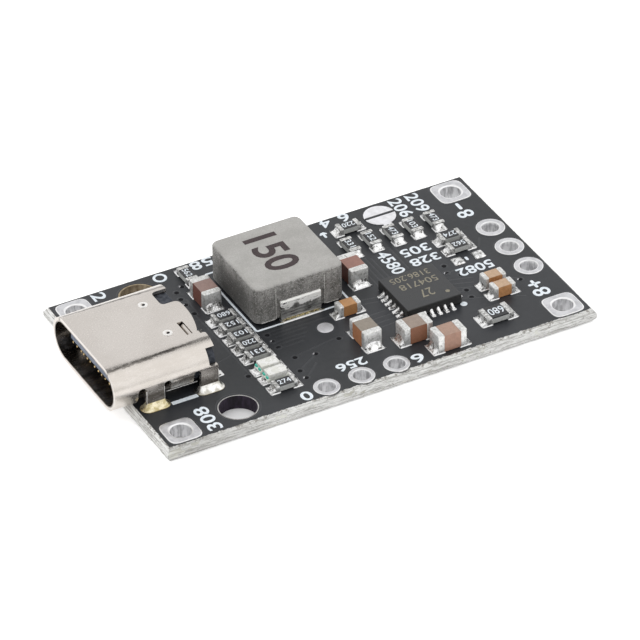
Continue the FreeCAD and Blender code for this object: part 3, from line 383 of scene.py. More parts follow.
def resist():
    """Dark resist on raised copper."""
    finish = Finish("resist", Specular_IOR_Level=0.45)
    cloud = finish.noise(6.0, 2.0)
    finish.color(finish.tones(cloud, 0.3, 0.7, (0.028, 0.030, 0.034), (0.040, 0.043, 0.048)))
    finish.rough_over(finish.noise(0.35, 3.0), 0.30, 0.40)
    finish.bump(finish.noise(0.8, 2.0), 0.004)


def broken_fibre(name, stretch, socket_shade):
    """Torn glass fibre along a snapped edge: pale strands that run along it, with dark nicks, and
    painted shade that greys it toward the socket's end by a given share."""
    finish = Finish(name, Specular_IOR_Level=0.3)
    finish.rough(0.85)
    grey = (0.30, 0.29, 0.27)
    strand = finish.noise(0.09, 4.0, 0.7, stretch)
    longer = [1 + 3 * (part - 1) if part > 1 else part for part in stretch]
    layer = finish.noise(0.13, 5.0, 0.7, longer)
    mixed = finish.math("MULTIPLY", finish.range(strand, 0.30, 0.55, 0.35, 1.0),
                        finish.range(layer, 0.38, 0.52, 0.30, 1.0))
    tone = finish.blend(mixed, grey, (0.88, 0.88, 0.86))
    brow = finish.along("Z", 0.80, 1.0, 0.0, 0.10)
    nick = finish.math("ADD", finish.noise(0.3, 5.0, 0.75), brow)
    tone = finish.over(tone, (0.16, 0.14, 0.11), nick, 0.60, 0.68, 0.7)
    # Painted shade: greyer toward the socket's end
    finish.color(finish.blend(finish.along("X", -14.0, -6.0, socket_shade, 0.0), tone, grey))
    finish.bump(strand, 0.05)


def tinned_copper(name, low, high, rim_highlights=False):
    """Flat tinned lands, slightly uneven, with painted highlights on their rounded rims if asked
    for, and soft streaks down the plated holes."""
    finish = Finish(name, Metallic=0.8)
    cloud = finish.noise(0.5, 4.0, 0.6)
    flat = finish.tones(cloud, 0.35, 0.62, low, high)
    # Painted highlight: near-white at the height of the pads' rounded rims
    if rim_highlights:
        flat = finish.blend(finish.along("Z", 1.050, 1.058, 0.9, 0.0), flat, (0.96, 0.96, 0.96))
    streak = finish.noise(0.24, 3.0, 0.6, (1, 1, 4.0))
    barrel = finish.tones(streak, 0.34, 0.60, (0.50, 0.50, 0.51), (0.88, 0.88, 0.89))
    finish.color(finish.blend(finish.along("Z", 0.975, 1.01, 1.0, 0.0), flat, barrel))
    finish.rough_over(finish.noise(0.2, 3.0), 0.36, 0.5)
    finish.bump(cloud, 0.012)
    finish.bump(finish.noise(0.12, 3.0), 0.004)


def bright_solder():
    """Solder that has run and set: bright, with patches of painted dark reflection and dull ones."""
    finish = Finish("bright_solder", Metallic=0.92)
    patch = finish.noise(0.26, 4.0, 0.6)
    # Painted reflection: dark patches where the solder would mirror dark surroundings
    painted_dark = finish.range(finish.noise(0.42, 3.0, 0.6), 0.56, 0.62)
    pale = finish.tones(patch, 0.38, 0.56, (0.48, 0.48, 0.47), (0.95, 0.95, 0.95))
    finish.color(finish.blend(painted_dark, pale, (0.16, 0.155, 0.15)))
    finish.rough(finish.range(patch, 0.35, 0.65, 0.16, 0.42))
    finish.bump(finish.noise(0.25, 2.0), 0.05)


def leg_solder():
    """Solder at the socket's legs, yellowed by flux at the front and browner at its foot."""
    finish = Finish("leg_solder", Metallic=1.0)
    front = finish.along("X", -13.2, -12.8, 1.0, 0.0)
    patch = finish.range(finish.noise(0.4, 4.0, 0.6), 0.38, 0.58)
    foot = finish.along("Z", 1.02, 1.07, 0.8, 0.0)
    flux = finish.blend(patch, (0.47, 0.40, 0.22), (0.78, 0.71, 0.52))
    flux = finish.blend(foot, flux, (0.30, 0.22, 0.09))
    clean = finish.blend(patch, (0.50, 0.48, 0.43), (0.86, 0.85, 0.82))
    clean = finish.blend(foot, clean, (0.36, 0.30, 0.18))
    finish.color(finish.blend(front, clean, flux))
    finish.rough(finish.range(finish.noise(0.3, 3.0), 0.35, 0.65, 0.26, 0.40))
    finish.bump(finish.noise(0.6, 2.0), 0.02)


def strap_solder():
    """Thin solder under the inductor's straps, brown with flux and spotted."""
    finish = Finish("strap_solder", Metallic=0.6)
    spot = finish.range(finish.noise(0.13, 3.0, 0.7), 0.44, 0.54)
    dull = finish.blend(spot, (0.075, 0.06, 0.035), (0.36, 0.30, 0.14))
    bright = finish.range(finish.noise(0.17, 3.0, 0.7), 0.60, 0.68)
    finish.color(finish.blend(bright, dull, (0.82, 0.79, 0.68)))
    finish.rough(finish.range(spot, 0.0, 1.0, 0.65, 0.4))
    finish.bump(spot, 0.012)


def dull_tin(name, first, second, metal):
    """Plated ends of the small parts: matt, with scratches both ways."""
    finish = Finish(name, Metallic=metal)
    patch = finish.range(finish.noise(0.16, 5.0, 0.65), 0.38, 0.60)
    ways = ((0.35, 2.2, 1.6), (2.2, 0.35, 1.6))
    scratches = [finish.range(finish.noise(0.22, 5.0, 0.7, way), 0.57, 0.64) for way in ways]
    scratch = finish.math("MULTIPLY", finish.math("MAXIMUM", *scratches), 0.55)
    pale = finish.blend(patch, first, second)
    finish.color(finish.blend(scratch, pale, (0.20, 0.195, 0.18)))
    finish.rough(finish.range(patch, 0.0, 1.0, 0.34, 0.5))
    finish.bump(finish.noise(0.12, 4.0), 0.012)


def shell_nickel():
    """The socket's shell: warm plated steel with fine specks, a painted dark reflection as a
    broken line along each upper bend, painted shade on its flanks, a brown painted reflection
    of the board along the lower sides, and painted shade inside."""
    finish = Finish("shell_nickel")
    cloud = finish.noise(2.5, 2.0)
    speck = finish.noise(0.10, 4.0, 0.7)
    warm = finish.tones(cloud, 0.35, 0.65, (0.65, 0.61, 0.572), (0.69, 0.65, 0.612))
    warm = finish.blend(finish.range(speck, 0.35, 0.65, 0.16, 0.0), warm, (0.40, 0.36, 0.33))

    # Painted reflection: a ragged dark line along each upper bend, weaker toward the rear
    drift = finish.math("MULTIPLY", finish.axis("X"), 0.036)
    bend = finish.math("ADD", finish.off("Y"), drift)
    off_bend = finish.math("ABSOLUTE", finish.math("SUBTRACT", bend, BEND_LINE * MM))
    ragged = finish.noise(0.16, 5.0, 0.8, (2.5, 1, 1))
    off_bend = finish.math("ADD", off_bend, finish.range(ragged, 0.35, 0.65, 0.0, 0.13 * MM))
    bend_reflection = finish.range(off_bend, 0.10 * MM, 0.23 * MM, 0.93, 0.0)
    bend_reflection = finish.math("MULTIPLY", bend_reflection, finish.along("X", -10.3, -12.5, 0.55, 1.0))
    bend_reflection = finish.math("MULTIPLY", bend_reflection, finish.along("Z", 3.6, 3.8))
    warm = finish.blend(bend_reflection, warm, (0.035, 0.030, 0.027))

    mottle = finish.noise(0.6, 5.0, 0.7, (2.5, 1, 0.8))
    # Painted shade: the curved flanks a little darker and browner than the top
    flank = finish.range(finish.off("Y"), 3.1 * MM, 3.6 * MM)
    flank_shade = finish.math("MULTIPLY", flank, finish.range(mottle, 0.35, 0.65, 0.25, 0.75))
    warm = finish.blend(flank_shade, warm, (0.55, 0.51, 0.465))
    # Painted reflection of the dark board: brown over the lower half of the sides, behind the mouth
    board_reflection = finish.tones(mottle, 0.35, 0.65, (0.27, 0.24, 0.21), (0.62, 0.59, 0.55))
    waves = finish.range(mottle, 0.35, 0.65, -0.25 * MM, 0.25 * MM)
    wavy = finish.math("ADD", finish.axis("Z"), waves)
    low = finish.range(wavy, 2.35 * MM, 2.75 * MM, 1.0, 0.0)
    low_reflection = finish.math("MULTIPLY", low, finish.along("X", -15.9, -15.3))
    outside = finish.blend(low_reflection, warm, board_reflection)

    # Painted shade inside the shell: its inner faces dark
    inside = finish.range(finish.shell_depth(), 1.33 * MM, 1.42 * MM, 1.0, 0.0)
    painted_dark = finish.tones(mottle, 0.35, 0.65, (0.10, 0.086, 0.072), (0.34, 0.30, 0.26))
    finish.color(finish.blend(inside, outside, painted_dark))
    finish.metal(finish.range(low_reflection, 0.0, 1.0, 1.0, 0.72))
    finish.rough_over(speck, 0.22, 0.28)
    finish.bump(speck, 0.002)
    finish.bump(cloud, 0.003)


def black_insulator():
    """The socket's moulding: black, its tongue blue-grey at the mouth, and a painted sheen that
    makes it paler at its sides and in the shell's rear notch."""
    finish = Finish("black_insulator", Specular_IOR_Level=0.12)
    tongue = finish.along("X", -12.6, -13.4)
    grain = finish.range(finish.noise(0.3, 3.0), 0.3, 0.7)
    side = finish.range(finish.off("Y"), 3.5 * MM, 3.8 * MM)
    notch = finish.math("MULTIPLY", finish.along("Z", 3.5, 3.7), finish.along("X", -11.4, -11.1))
    # Painted sheen: a paler blue-grey at the sides and in the notch
    painted_sheen = finish.blend(grain, (0.030, 0.034, 0.043), (0.075, 0.082, 0.098))
    black = finish.blend(grain, (0.003, 0.003, 0.004), (0.014, 0.016, 0.021))
    black = finish.blend(finish.math("MAXIMUM", side, notch), black, painted_sheen)
    grey = finish.blend(grain, (0.16, 0.19, 0.25), (0.26, 0.29, 0.36))
    finish.color(finish.blend(tongue, black, grey))
    finish.rough_over(finish.noise(0.1, 3.0), 0.28, 0.45)
    finish.bump(finish.noise(0.4, 3.0), 0.03)


def gilt():
    """Gold on the socket's contacts, with tinned tails."""
    finish = Finish("gilt", Metallic=1.0)
    patch = finish.noise(0.2, 3.0)
    gold = finish.blend(patch, (0.80, 0.56, 0.24), (0.92, 0.70, 0.36))
    tin = finish.blend(patch, (0.66, 0.65, 0.62), (0.82, 0.81, 0.78))
    finish.color(finish.blend(finish.along("X", -9.9, -9.6), gold, tin))
    finish.rough_over(patch, 0.2, 0.34)
    finish.bump(patch, 0.005)


def pressed_iron():
    """The inductor: grey pressed iron powder, fine and sandy above, darker and streaked at its
    sides, with painted shade low on the sides that is deepest on the left face.
    """
    finish = Finish("pressed_iron", Metallic=0.2)
    sand = finish.noise(0.075, 5.0, 0.75)
    smear = finish.noise(1.1, 5.0, 0.7, (1, 1, 1.4))
    side = finish.tones(smear, 0.36, 0.62, (0.12, 0.118, 0.11), (0.38, 0.37, 0.355))
    bright = finish.noise(0.11, 4.0, 0.85)
    side = finish.over(side, (0.74, 0.73, 0.70), bright, 0.55, 0.60, 0.8)
    side = finish.over(side, (0.035, 0.033, 0.031), bright, 0.45, 0.39, 0.85)
    # Painted shade: the sides darker toward the bottom, most of all on the left face
    left_face_shade = finish.math("MULTIPLY", finish.along("X", -4.62, -4.3, 1.0, 0.0),
                       finish.range(finish.off("Y", 3.3), 3.0 * MM, 1.2 * MM, 0.3, 1.0))
    left_face_shade = finish.math("MAXIMUM", left_face_shade, 0.3)
    low = finish.along("Z", 2.6, 3.9, 0.96, 0.0)
    side = finish.blend(finish.math("MULTIPLY", low, left_face_shade), side, (0.032, 0.031, 0.030))
    side = finish.over(side, (0.80, 0.79, 0.77), finish.noise(0.10, 4.0, 0.8), 0.61, 0.67, 0.8)
    cloud = finish.noise(1.2, 4.0, 0.6)
    face = finish.tones(cloud, 0.35, 0.65, (0.455, 0.445, 0.425), (0.52, 0.51, 0.49))
    mixed = finish.blend(finish.along("Z", 3.82, 3.96), side, face)
    finish.color(finish.over(mixed, (0.30, 0.29, 0.275), sand, 0.36, 0.62, 0.42))
    finish.rough_over(sand, 0.5, 0.7)
    finish.bump(sand, 0.018)


def terminal_tin():
    """The inductor's wrapped terminals: dull tin, brushed along, with a painted highlight over
    their upper edge.
    """
    finish = Finish("terminal_tin")
    brushed = finish.noise(0.16, 5.0, 0.7, (7, 1, 0.8))
    cloud = finish.noise(0.7, 4.0, 0.6)
    tone = finish.tones(cloud, 0.35, 0.6, (0.22, 0.217, 0.205), (0.48, 0.475, 0.46))
    tone = finish.over(tone, (0.84, 0.83, 0.80), brushed, 0.50, 0.62, 0.8)
    tone = finish.over(tone, (0.10, 0.10, 0.095), brushed, 0.42, 0.34, 0.7)
    # Painted highlight: near-white and less metallic over the terminals' upper edge
    edge = finish.math("ADD", finish.axis("Z"), finish.range(cloud, 0.35, 0.65, 0.0, 0.40 * MM))
    rim = finish.range(edge, 2.18 * MM, 2.30 * MM)
    rim = finish.math("MULTIPLY", rim, finish.range(brushed, 0.36, 0.44))
    finish.color(finish.blend(rim, tone, (1.0, 0.99, 0.96)))
    finish.metal(finish.range(rim, 0.0, 1.0, 0.9, 0.15))
    finish.rough_over(brushed, 0.24, 0.42)
    finish.bump(brushed, 0.012)


def chip_resin():
    """The chip's black moulded resin, fine-grained and greyer on its top."""
    finish = Finish("chip_resin")
    grain = finish.noise(0.05, 4.0, 0.7)
    face = finish.tones(grain, 0.35, 0.65, (0.036, 0.037, 0.039), (0.062, 0.063, 0.065))
    side = finish.tones(grain, 0.35, 0.65, (0.014, 0.014, 0.014), (0.03, 0.03, 0.03))
    finish.color(finish.blend(finish.along("Z", 1.77, 1.795), side, face))
    finish.rough_over(grain, 0.5, 0.68)
    finish.bump(grain, 0.012)


def glaze_over_ceramic():
    """Resistors: black glaze above, grey-white ceramic below it."""
    finish = Finish("glaze_over_ceramic")
    upper = finish.math("GREATER_THAN", finish.axis("Z"), 1.462 * MM)
    grain = finish.noise(0.06, 4.0, 0.65)
    glaze = finish.tones(grain, 0.3, 0.7, (0.014, 0.014, 0.016), (0.028, 0.028, 0.031))
    slab = finish.tones(grain, 0.3, 0.7, (0.42, 0.43, 0.42), (0.62, 0.63, 0.61))
    finish.color(finish.blend(upper, slab, glaze))
    finish.rough(finish.blend(upper, (0.7, 0.7, 0.7), finish.range(grain, 0.3, 0.7, 0.28, 0.4)))
    finish.bump(finish.noise(0.2, 3.0), 0.01)


TAN_TONES = [
    # Middle x and y, tone of the top with its painted sheen, tone of the sides
    (1.38, -1.33, (0.52, 0.27, 0.11), (0.50, 0.24, 0.09)),
]
BROWN_TONES = [
    # Middle x and y, tone of the top with its painted sheen, tone of the sides
    (-6.05, 4.35, (0.30, 0.20, 0.175), (0.20, 0.075, 0.055)),
    (3.5, 1.95, (0.34, 0.175, 0.14), (0.15, 0.055, 0.04)),
    (0.92, -4.62, (0.30, 0.262, 0.218), (0.48, 0.21, 0.10)),
    (3.8, -5.88, (0.34, 0.27, 0.225), (0.34, 0.15, 0.085)),
    (5.3, -7.68, (0.44, 0.285, 0.22), (0.44, 0.25, 0.18)),
]


def ceramic(name, sides, faces, top, others):
    """Fired ceramic of the capacitors: two tones at the sides, and two greyer ones on the faces at
    the top, greyed by a painted sheen. The others were fired darker or redder, and are named by
    place and tones, their top tones with the painted sheen too."""
    finish = Finish(name)
    streak = finish.range(finish.noise(0.25, 5.0, 0.65), 0.35, 0.65)
    grain = finish.noise(0.05, 3.0, 0.6)

    def shades(tone):
        darker, paler = (tuple(share * part for part in tone) for share in (0.93, 1.07))
        return finish.blend(streak, darker, paler)

    side = finish.blend(streak, *sides)
    face = finish.blend(streak, *faces)
    for x, y, sheen_top_tone, side_tone in others:
        here = finish.near(x, y, 1.1)
        face = finish.blend(here, face, shades(sheen_top_tone))
        side = finish.blend(here, side, shades(side_tone))
    # Painted sheen: the top faces take the greyer tones
    body = finish.blend(finish.math("LESS_THAN", finish.off("Z", top), 0.02 * MM), side, face)
    finish.color(finish.over(body, (0.10, 0.06, 0.045), grain, 0.35, 0.65, 0.18))
    finish.rough_over(grain, 0.36, 0.52)
    finish.bump(grain, 0.006)


def build_finishes():
    """Make every material."""
    mask_over_fibre()
    resist()
    broken_fibre("long_fibre", (7, 1, 0.7), 0.32)
    broken_fibre("short_fibre", (1, 7, 0.7), 0.0)
    tinned_copper("tinned_copper", (0.60, 0.60, 0.62), (0.72, 0.72, 0.74), rim_highlights=True)
    tinned_copper("flat_tin", (0.70, 0.70, 0.72), (0.82, 0.82, 0.85))
    tinned_copper("split_tin", (0.80, 0.80, 0.82), (0.92, 0.92, 0.95))
    bright_solder()
    leg_solder()
    strap_solder()
    dull_tin("dull_tin", (0.66, 0.66, 0.64), (0.88, 0.88, 0.87), 0.6)
    dull_tin("resistor_tin", (0.36, 0.36, 0.35), (0.86, 0.86, 0.85), 0.85)
    shell_nickel()
    black_insulator()
    gilt()
    pressed_iron()
    terminal_tin()
    chip_resin()
    glaze_over_ceramic()
    # The second pair of tones is for the tops, with their painted sheen
    ceramic("brown_ceramic", ((0.30, 0.125, 0.07), (0.46, 0.22, 0.13)),
            ((0.34, 0.28, 0.24), (0.40, 0.30, 0.24)), 2.30, BROWN_TONES)
    ceramic("tan_ceramic", ((0.54, 0.25, 0.095), (0.70, 0.355, 0.15)),
            ((0.54, 0.365, 0.235), (0.62, 0.43, 0.285)), 1.85, TAN_TONES)
    plain_finishes()


def plain_finishes():
    """The speckled ones: bare rings of laminate round the drilled holes, near-white strips painted
    as highlights on the shell's edges, the shell's inner plate, pale ridges painted as highlights
    on the inductor, ink and marks, leads, print, lamps and the vias' dimples."""
    speckled("pale_laminate", (0.3, 4.0, 0.65), (0.3, 0.7),
             (0.30, 0.29, 0.28), (0.55, 0.54, 0.53), (0.4, 0.6), 0.01)
    speckled("tan_laminate", (0.3, 4.0, 0.65), (0.3, 0.7),
             (0.20, 0.15, 0.08), (0.46, 0.37, 0.24), (0.4, 0.6), 0.01)
    # Near-white steel for strips painted as highlights on the shell's edges
    speckled("highlight_steel", (0.12, 3.0), None,
             (0.84, 0.82, 0.79), (0.97, 0.96, 0.94), (0.25, 0.38), 0.002, Metallic=0.7)
    speckled("plate_steel", (0.2, 3.0, 0.6, (4, 1, 1)), None,
             (0.42, 0.42, 0.42), (0.60, 0.60, 0.58), (0.28, 0.42), 0.005, Metallic=1.0)
    # Pale iron for the inductor's ridges, painted paler as highlights
    speckled("ridge_highlight_iron", (0.09, 4.0, 0.7), (0.38, 0.62),
             (0.34, 0.33, 0.31), (0.82, 0.81, 0.78), (0.4, 0.6), 0.006, Metallic=0.4)
    speckled("marking_ink", (0.09, 5.0, 0.7), (0.35, 0.65),
             (0.028, 0.019, 0.021), (0.075, 0.054, 0.056), (0.6, 0.8), 0.015)
    speckled("lead_tin", (0.15, 3.0), None,
             (0.7, 0.7, 0.7), (0.88, 0.88, 0.88), (0.18, 0.34), 0.01, Metallic=1.0)
    speckled("laser_mark", (0.05, 4.0, 0.7), (0.35, 0.65),
             (0.17, 0.155, 0.115), (0.40, 0.37, 0.29), (0.7, 0.85), 0.01)
    speckled("print_white", (0.15, 4.0, 0.6), (0.3, 0.6),
             (0.72, 0.80, 0.86), (0.90, 0.95, 1.0), (0.45, 0.65), 0.006)
    speckled("lamp_clear", (0.3, 3.0), (0.3, 0.7), (0.84, 0.84, 0.78), (0.97, 0.97, 0.95),
             (0.2, 0.34), 0.01, Transmission_Weight=0.1, IOR=1.45)
    speckled("lamp_base", (0.2, 3.0), (0.3, 0.7),
             (0.74, 0.76, 0.68), (0.92, 0.93, 0.88), (0.4, 0.6), 0.01)
    speckled("lamp_green", (0.1, 3.0), None,
             (0.02, 0.42, 0.30), (0.12, 0.68, 0.55), (0.4, 0.6), 0.005)
    speckled("via_dark", (0.1, 3.0), None,
             (0.004, 0.004, 0.005), (0.02, 0.02, 0.022), (0.4, 0.6), 0.005, Specular_IOR_Level=0.05)


# The finish of each slot's solids
SLOT_FINISH = {
    "board": "resist_over_fibre", "tinned_pads": "tinned_copper", "shell_steel": "shell_nickel",
    "plate_steel": "plate_steel", "black_insulator": "black_insulator", "gilt_contact": "gilt",
    "solder": "bright_solder", "moulded_iron": "pressed_iron", "tinned_terminal": "terminal_tin",
    "chip_resin": "chip_resin", "resistor_slab": "glaze_over_ceramic",
    "brown_ceramic": "brown_ceramic", "tan_ceramic": "tan_ceramic", "lamp_base": "lamp_base",
    "lamp_lens": "lamp_clear",
}


def dress(mesh, finish):
    """Give a mesh one material."""
    mesh.materials.clear()
    mesh.materials.append(FINISHES[finish])


def dress_solids():
    """Give every solid its material."""
    for node, slot in SLOTS.items():
        dress(frame["nodes"][node].data, SLOT_FINISH[slot])
    dress(frame["nodes"]["charger_chip_leads"].data, "lead_tin")


# Surfaces

def grid_quads(index):
    """Quads between neighbouring rows and columns of a grid of point numbers."""
    quads = np.stack([index[:-1, :-1], index[:-1, 1:], index[1:, 1:], index[1:, :-1]], axis=-1)
    return quads.reshape(-1, 4)


def ring_quads(rows, columns, closed=False):
    """Quads between neighbouring rings of points, and from the last ring to the first if closed."""
    index = np.arange(rows * columns).reshape(rows, columns)
    index = np.concatenate([index, index[:, :1]], axis=1)
    if closed:
        index = np.concatenate([index, index[:1]])
    return grid_quads(index).tolist()


def stacked(rings):
    """A closed surface through rings of points, from the lowest ring to the highest.

    Point (i, j) is point j of ring i. Neighbouring rings are joined by quads, and the first and
    the last ring are filled flat.
    """
    rows, columns = rings.shape[:2]
    faces = ring_quads(rows, columns)
    faces.append(list(range(columns))[::-1])
    faces.append(list(range((rows - 1) * columns, rows * columns)))
    return rings.reshape(-1, 3), faces


def looped(rings):
    """A closed ring-shaped surface: rings of points in a loop, the last joined to the first."""
    return rings.reshape(-1, 3), ring_quads(*rings.shape[:2], closed=True)


def circle_ring(radius, steps=48):
    """A circle as a ring of points."""
    turn = np.linspace(0, 2 * math.pi, steps, endpoint=False)
    return np.stack([radius * np.cos(turn), radius * np.sin(turn)], axis=-1)


def square_ring(side, steps=48):
    """A rounded square as points at the same angles as a circle's, so that it pairs with a round
    hole: at angle t the reach is side / 2 * (|cos t|^5 + |sin t|^5)^(-1/5)."""
    turn = np.linspace(0, 2 * math.pi, steps, endpoint=False)
    power = 5.0
    reach = (np.abs(np.cos(turn)) ** power + np.abs(np.sin(turn)) ** power) ** (-1 / power)
    return np.stack([np.cos(turn) * reach, np.sin(turn) * reach], axis=-1) * side / 2


def rectangle_ring(half_x, half_y, corner, steps=4):
    """A rounded rectangle: four corner centres plus the corner radius at evenly turned angles."""
    turn = np.linspace(0, QUARTER, steps)[None, :] + np.arange(4)[:, None] * QUARTER
    side_x = np.array([1, -1, -1, 1])[:, None]
    side_y = np.array([1, 1, -1, -1])[:, None]
    x = side_x * (half_x - corner) + corner * np.cos(turn)
    y = side_y * (half_y - corner) + corner * np.sin(turn)
    return np.stack([x.ravel(), y.ravel()], axis=-1)


def lifted(ring, height):
    """A flat ring of points at one height."""
    return np.column_stack([ring, np.full(len(ring), height)])


def soft_block(size_x, size_y, low, high, edge, corner, steps=4):
    """A block with rounded edges: rounded rectangles drawn in by edge * (1 - sin t) over a
    quarter turn at the bottom and again at the top, with corners of their own radius."""
    corner = max(corner, edge * 1.05)
    turn = np.linspace(0, QUARTER, steps)
    drawn_in = edge * (1 - np.sin(turn))
    lift = edge * (1 - np.cos(turn))
    insets = np.concatenate([drawn_in, drawn_in[::-1]])
    heights = np.concatenate([low + lift, high - lift[::-1]])
    rings = [
        lifted(rectangle_ring(size_x / 2 - inset, size_y / 2 - inset, corner - inset, steps), height)
        for inset, height in zip(insets, heights)
    ]
    return stacked(np.array(rings))


def small_block(sizes, at):
    """A soft block with three steps round its edges, at a place."""
    return moved(soft_block(*sizes, 3), at)


def pillow(ring_at, low, rise, edge):
    """A low mound: rings drawn in along a quarter of an ellipse, rise tall and edge wide."""
    turn = np.linspace(0, QUARTER, 5)
    rings = [lifted(ring_at(0.0), low)]
    rings += [lifted(ring_at(edge * (1 - math.cos(t))), low + rise * math.sin(t)) for t in turn[1:]]
    return stacked(np.array(rings))


def mound(half_x, half_y, corner, rise, edge):
    """A low mound on the board over a rounded rectangle."""
    return pillow(lambda inset: rectangle_ring(half_x - inset, half_y - inset, corner, 3),
                  BOARD_TOP, rise, edge)


def button(radius, steps, low, rise, edge):
    """A low round mound."""
    return pillow(lambda inset: circle_ring(radius - inset, steps), low, rise, edge)


def turned_ring(profile, steps, base):
    """A ring turned from a profile of radii and heights over a base height."""
    return looped(np.array([lifted(circle_ring(radius, steps), base + z) for radius, z in profile]))


def strip(start, end, width, rise, low):
    """A low rounded strip between two points."""
    run = np.array(end) - np.array(start)
    length = float(np.hypot(*run))
    ridge = pillow(lambda inset: rectangle_ring(length / 2 - inset, width / 2 - inset,
                                                width * 0.45 - inset * 0.9, 3),
                   low, rise, width * 0.3)
    middle = (np.array(end) + np.array(start)) / 2
    return moved(ridge, middle, math.degrees(math.atan2(run[1], run[0])))


def bar(low, high, height, thick):
    """A flat straight bar of print between two corners."""
    half = (np.array(high) - np.array(low)) / 2
    ring = rectangle_ring(half[0], half[1], min(0.05, half.min() * 0.9), 3)
    block = stacked(np.array([lifted(ring, height), lifted(ring, height + thick)]))
    return moved(block, (np.array(high) + np.array(low)) / 2)


def sheet_over(top, low):
    """A closed piece under a grid of points: the grid, its drop to a low height, and a floor."""
    rows, columns = top.shape[:2]
    points = np.concatenate([top.reshape(-1, 3), top.reshape(-1, 3) * (1, 1, 0) + (0, 0, low)])
    index = np.arange(rows * columns).reshape(rows, columns)
    quads = grid_quads(index)
    border = np.concatenate([index[0, :-1], index[:-1, -1], index[-1, :0:-1], index[:0:-1, 0]])
    after = np.roll(border, -1)
    walls = np.stack([border, border + index.size, after + index.size, after], axis=-1)
    return points, np.concatenate([quads, quads[:, ::-1] + index.size, walls]).tolist()


def flared(start, half, height, reach, rows=11, columns=15):
    """Solder run out from a wall at x = start: point (v, u) lies at a distance
    reach * v * (0.84 + 0.16 u^2) from it, half * u * (1 - 0.17 sin(pi v) + 0.14 v^4) across, and
    height * (1 - v)^2 * (1 - 0.55 |u|^3) above a thin foot."""
    v = np.linspace(0, 1, rows)[:, None]
    u = np.linspace(-1, 1, columns)[None, :]
    x = start + reach * v * (0.84 + 0.16 * u ** 2)
    y = half * u * (1 - 0.17 * np.sin(math.pi * v) + 0.14 * v ** 4)
    rise = height * (1 - v) ** 2.0 * (1 - 0.55 * abs(u) ** 3)
    z = SEAT + 0.02 + 0.04 * (1 - v ** 6) * (1 - u ** 6) + rise
    points, faces = sheet_over(np.stack([x, y, z], axis=-1), BOARD_TOP)
    return points, [face[::-1] for face in faces]


def moved(piece, middle, degrees=0.0, lift=0.0):
    """A piece turned about +Z and set at a place."""
    points, faces = piece
    angle = math.radians(degrees)
    across = np.array([math.cos(angle), math.sin(angle), 0])
    upward = np.array([-math.sin(angle), math.cos(angle), 0])
    turned = points[:, :1] * across + points[:, 1:2] * upward
    turned[:, 2] = points[:, 2] + lift
    return turned + (middle[0], middle[1], 0), faces


# The height of a figure as a share of its font's size
FIGURE_SHARE = 0.7


def words(body, middle, turn, length, tall, height, thick, bold=0.0):
    """Plain figures as a thin mesh, length long and tall high, turned by degrees about +Z."""
    curve = bpy.data.curves.new("figures", "FONT")
    curve.body = body
    curve.size = tall * MM / FIGURE_SHARE
    curve.extrude = thick * MM / 2
    curve.offset = bold * MM
    curve.resolution_u = 4
    text = into_scene("figures", curve)
    bpy.context.view_layer.update()
    mesh = bpy.data.meshes.new_from_object(text)
    bpy.data.objects.remove(text)
    points = np.zeros(len(mesh.vertices) * 3)
    mesh.vertices.foreach_get("co", points)
    points = points.reshape(-1, 3) / MM
    faces = [list(face.vertices) for face in mesh.polygons]
    bpy.data.meshes.remove(mesh)
    low, high = points.min(0), points.max(0)
    size = high - low
    points = (points - (low + high) / 2) * (length / size[0], tall / size[1], 1)
    return moved((points, faces), middle, turn, height + thick / 2)


# Pieces

# Angles between faces: past the first an edge shows sharp, past the second it is rounded, and
# below the third two faces are made one
SHARP_ANGLE = math.radians(38)
BEVELLED_ANGLE = math.radians(32)
FLAT_ANGLE = math.radians(0.5)


def make_piece(name, parts, finish, replaces=(), flat=False):
    """One mesh from several surfaces, riding on the model: smooth up to sharp edges, or flat."""
    points = []
    faces = []
    for part_points, part_faces in parts:
        start = len(points)
        points += part_points.tolist()
        faces += [[index + start for index in face] for face in part_faces]
    mesh = bpy.data.meshes.new(name)
    mesh.from_pydata((np.array(points) * MM).tolist(), [], faces)
    dress(mesh, finish)
    piece = into_scene(name, mesh)
    mesh.validate()
    if flat:
        mesh.shade_flat()
    else:
        mesh.shade_smooth()
        mesh.set_sharp_from_angle(angle=SHARP_ANGLE)
    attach(piece, "root")
    if replaces:
        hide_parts(*replaces)


def box_of(node):
    """The lowest and highest corner of a solid, in millimetres."""
    low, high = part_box(node)
    return np.array(low) / MM, np.array(high) / MM


def round_edges(work, edges, width, steps):
    """Round edges of a mesh by a width in millimetres."""
    bmesh.ops.bevel(work, geom=edges, offset=width * MM, offset_type="OFFSET", segments=steps,
                    profile=0.5, affect="EDGES", clamp_overlap=True)


def softened(node, name, width, steps, finish=None, reshape=None):
    """A solid's own form with its edges rounded: its triangles joined, then bevelled."""
    slot = SLOTS[node]
    mesh = frame["nodes"][node].data.copy()
    mesh.name = name
    work = bmesh.new()
    work.from_mesh(mesh)
    bmesh.ops.remove_doubles(work, verts=work.verts, dist=1e-7)
    bmesh.ops.dissolve_limit(work, angle_limit=FLAT_ANGLE, verts=work.verts, edges=work.edges)
    if reshape:
        reshape(work)
    round_edges(work, [edge for edge in work.edges if edge.calc_face_angle(0) > BEVELLED_ANGLE],
                width, steps)
    work.to_mesh(mesh)
    work.free()
    dress(mesh, finish or SLOT_FINISH[slot])
    piece = into_scene(name, mesh)
    mesh.shade_smooth()
    shade_by_area(mesh)
    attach(piece, "root")
    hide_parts(node)


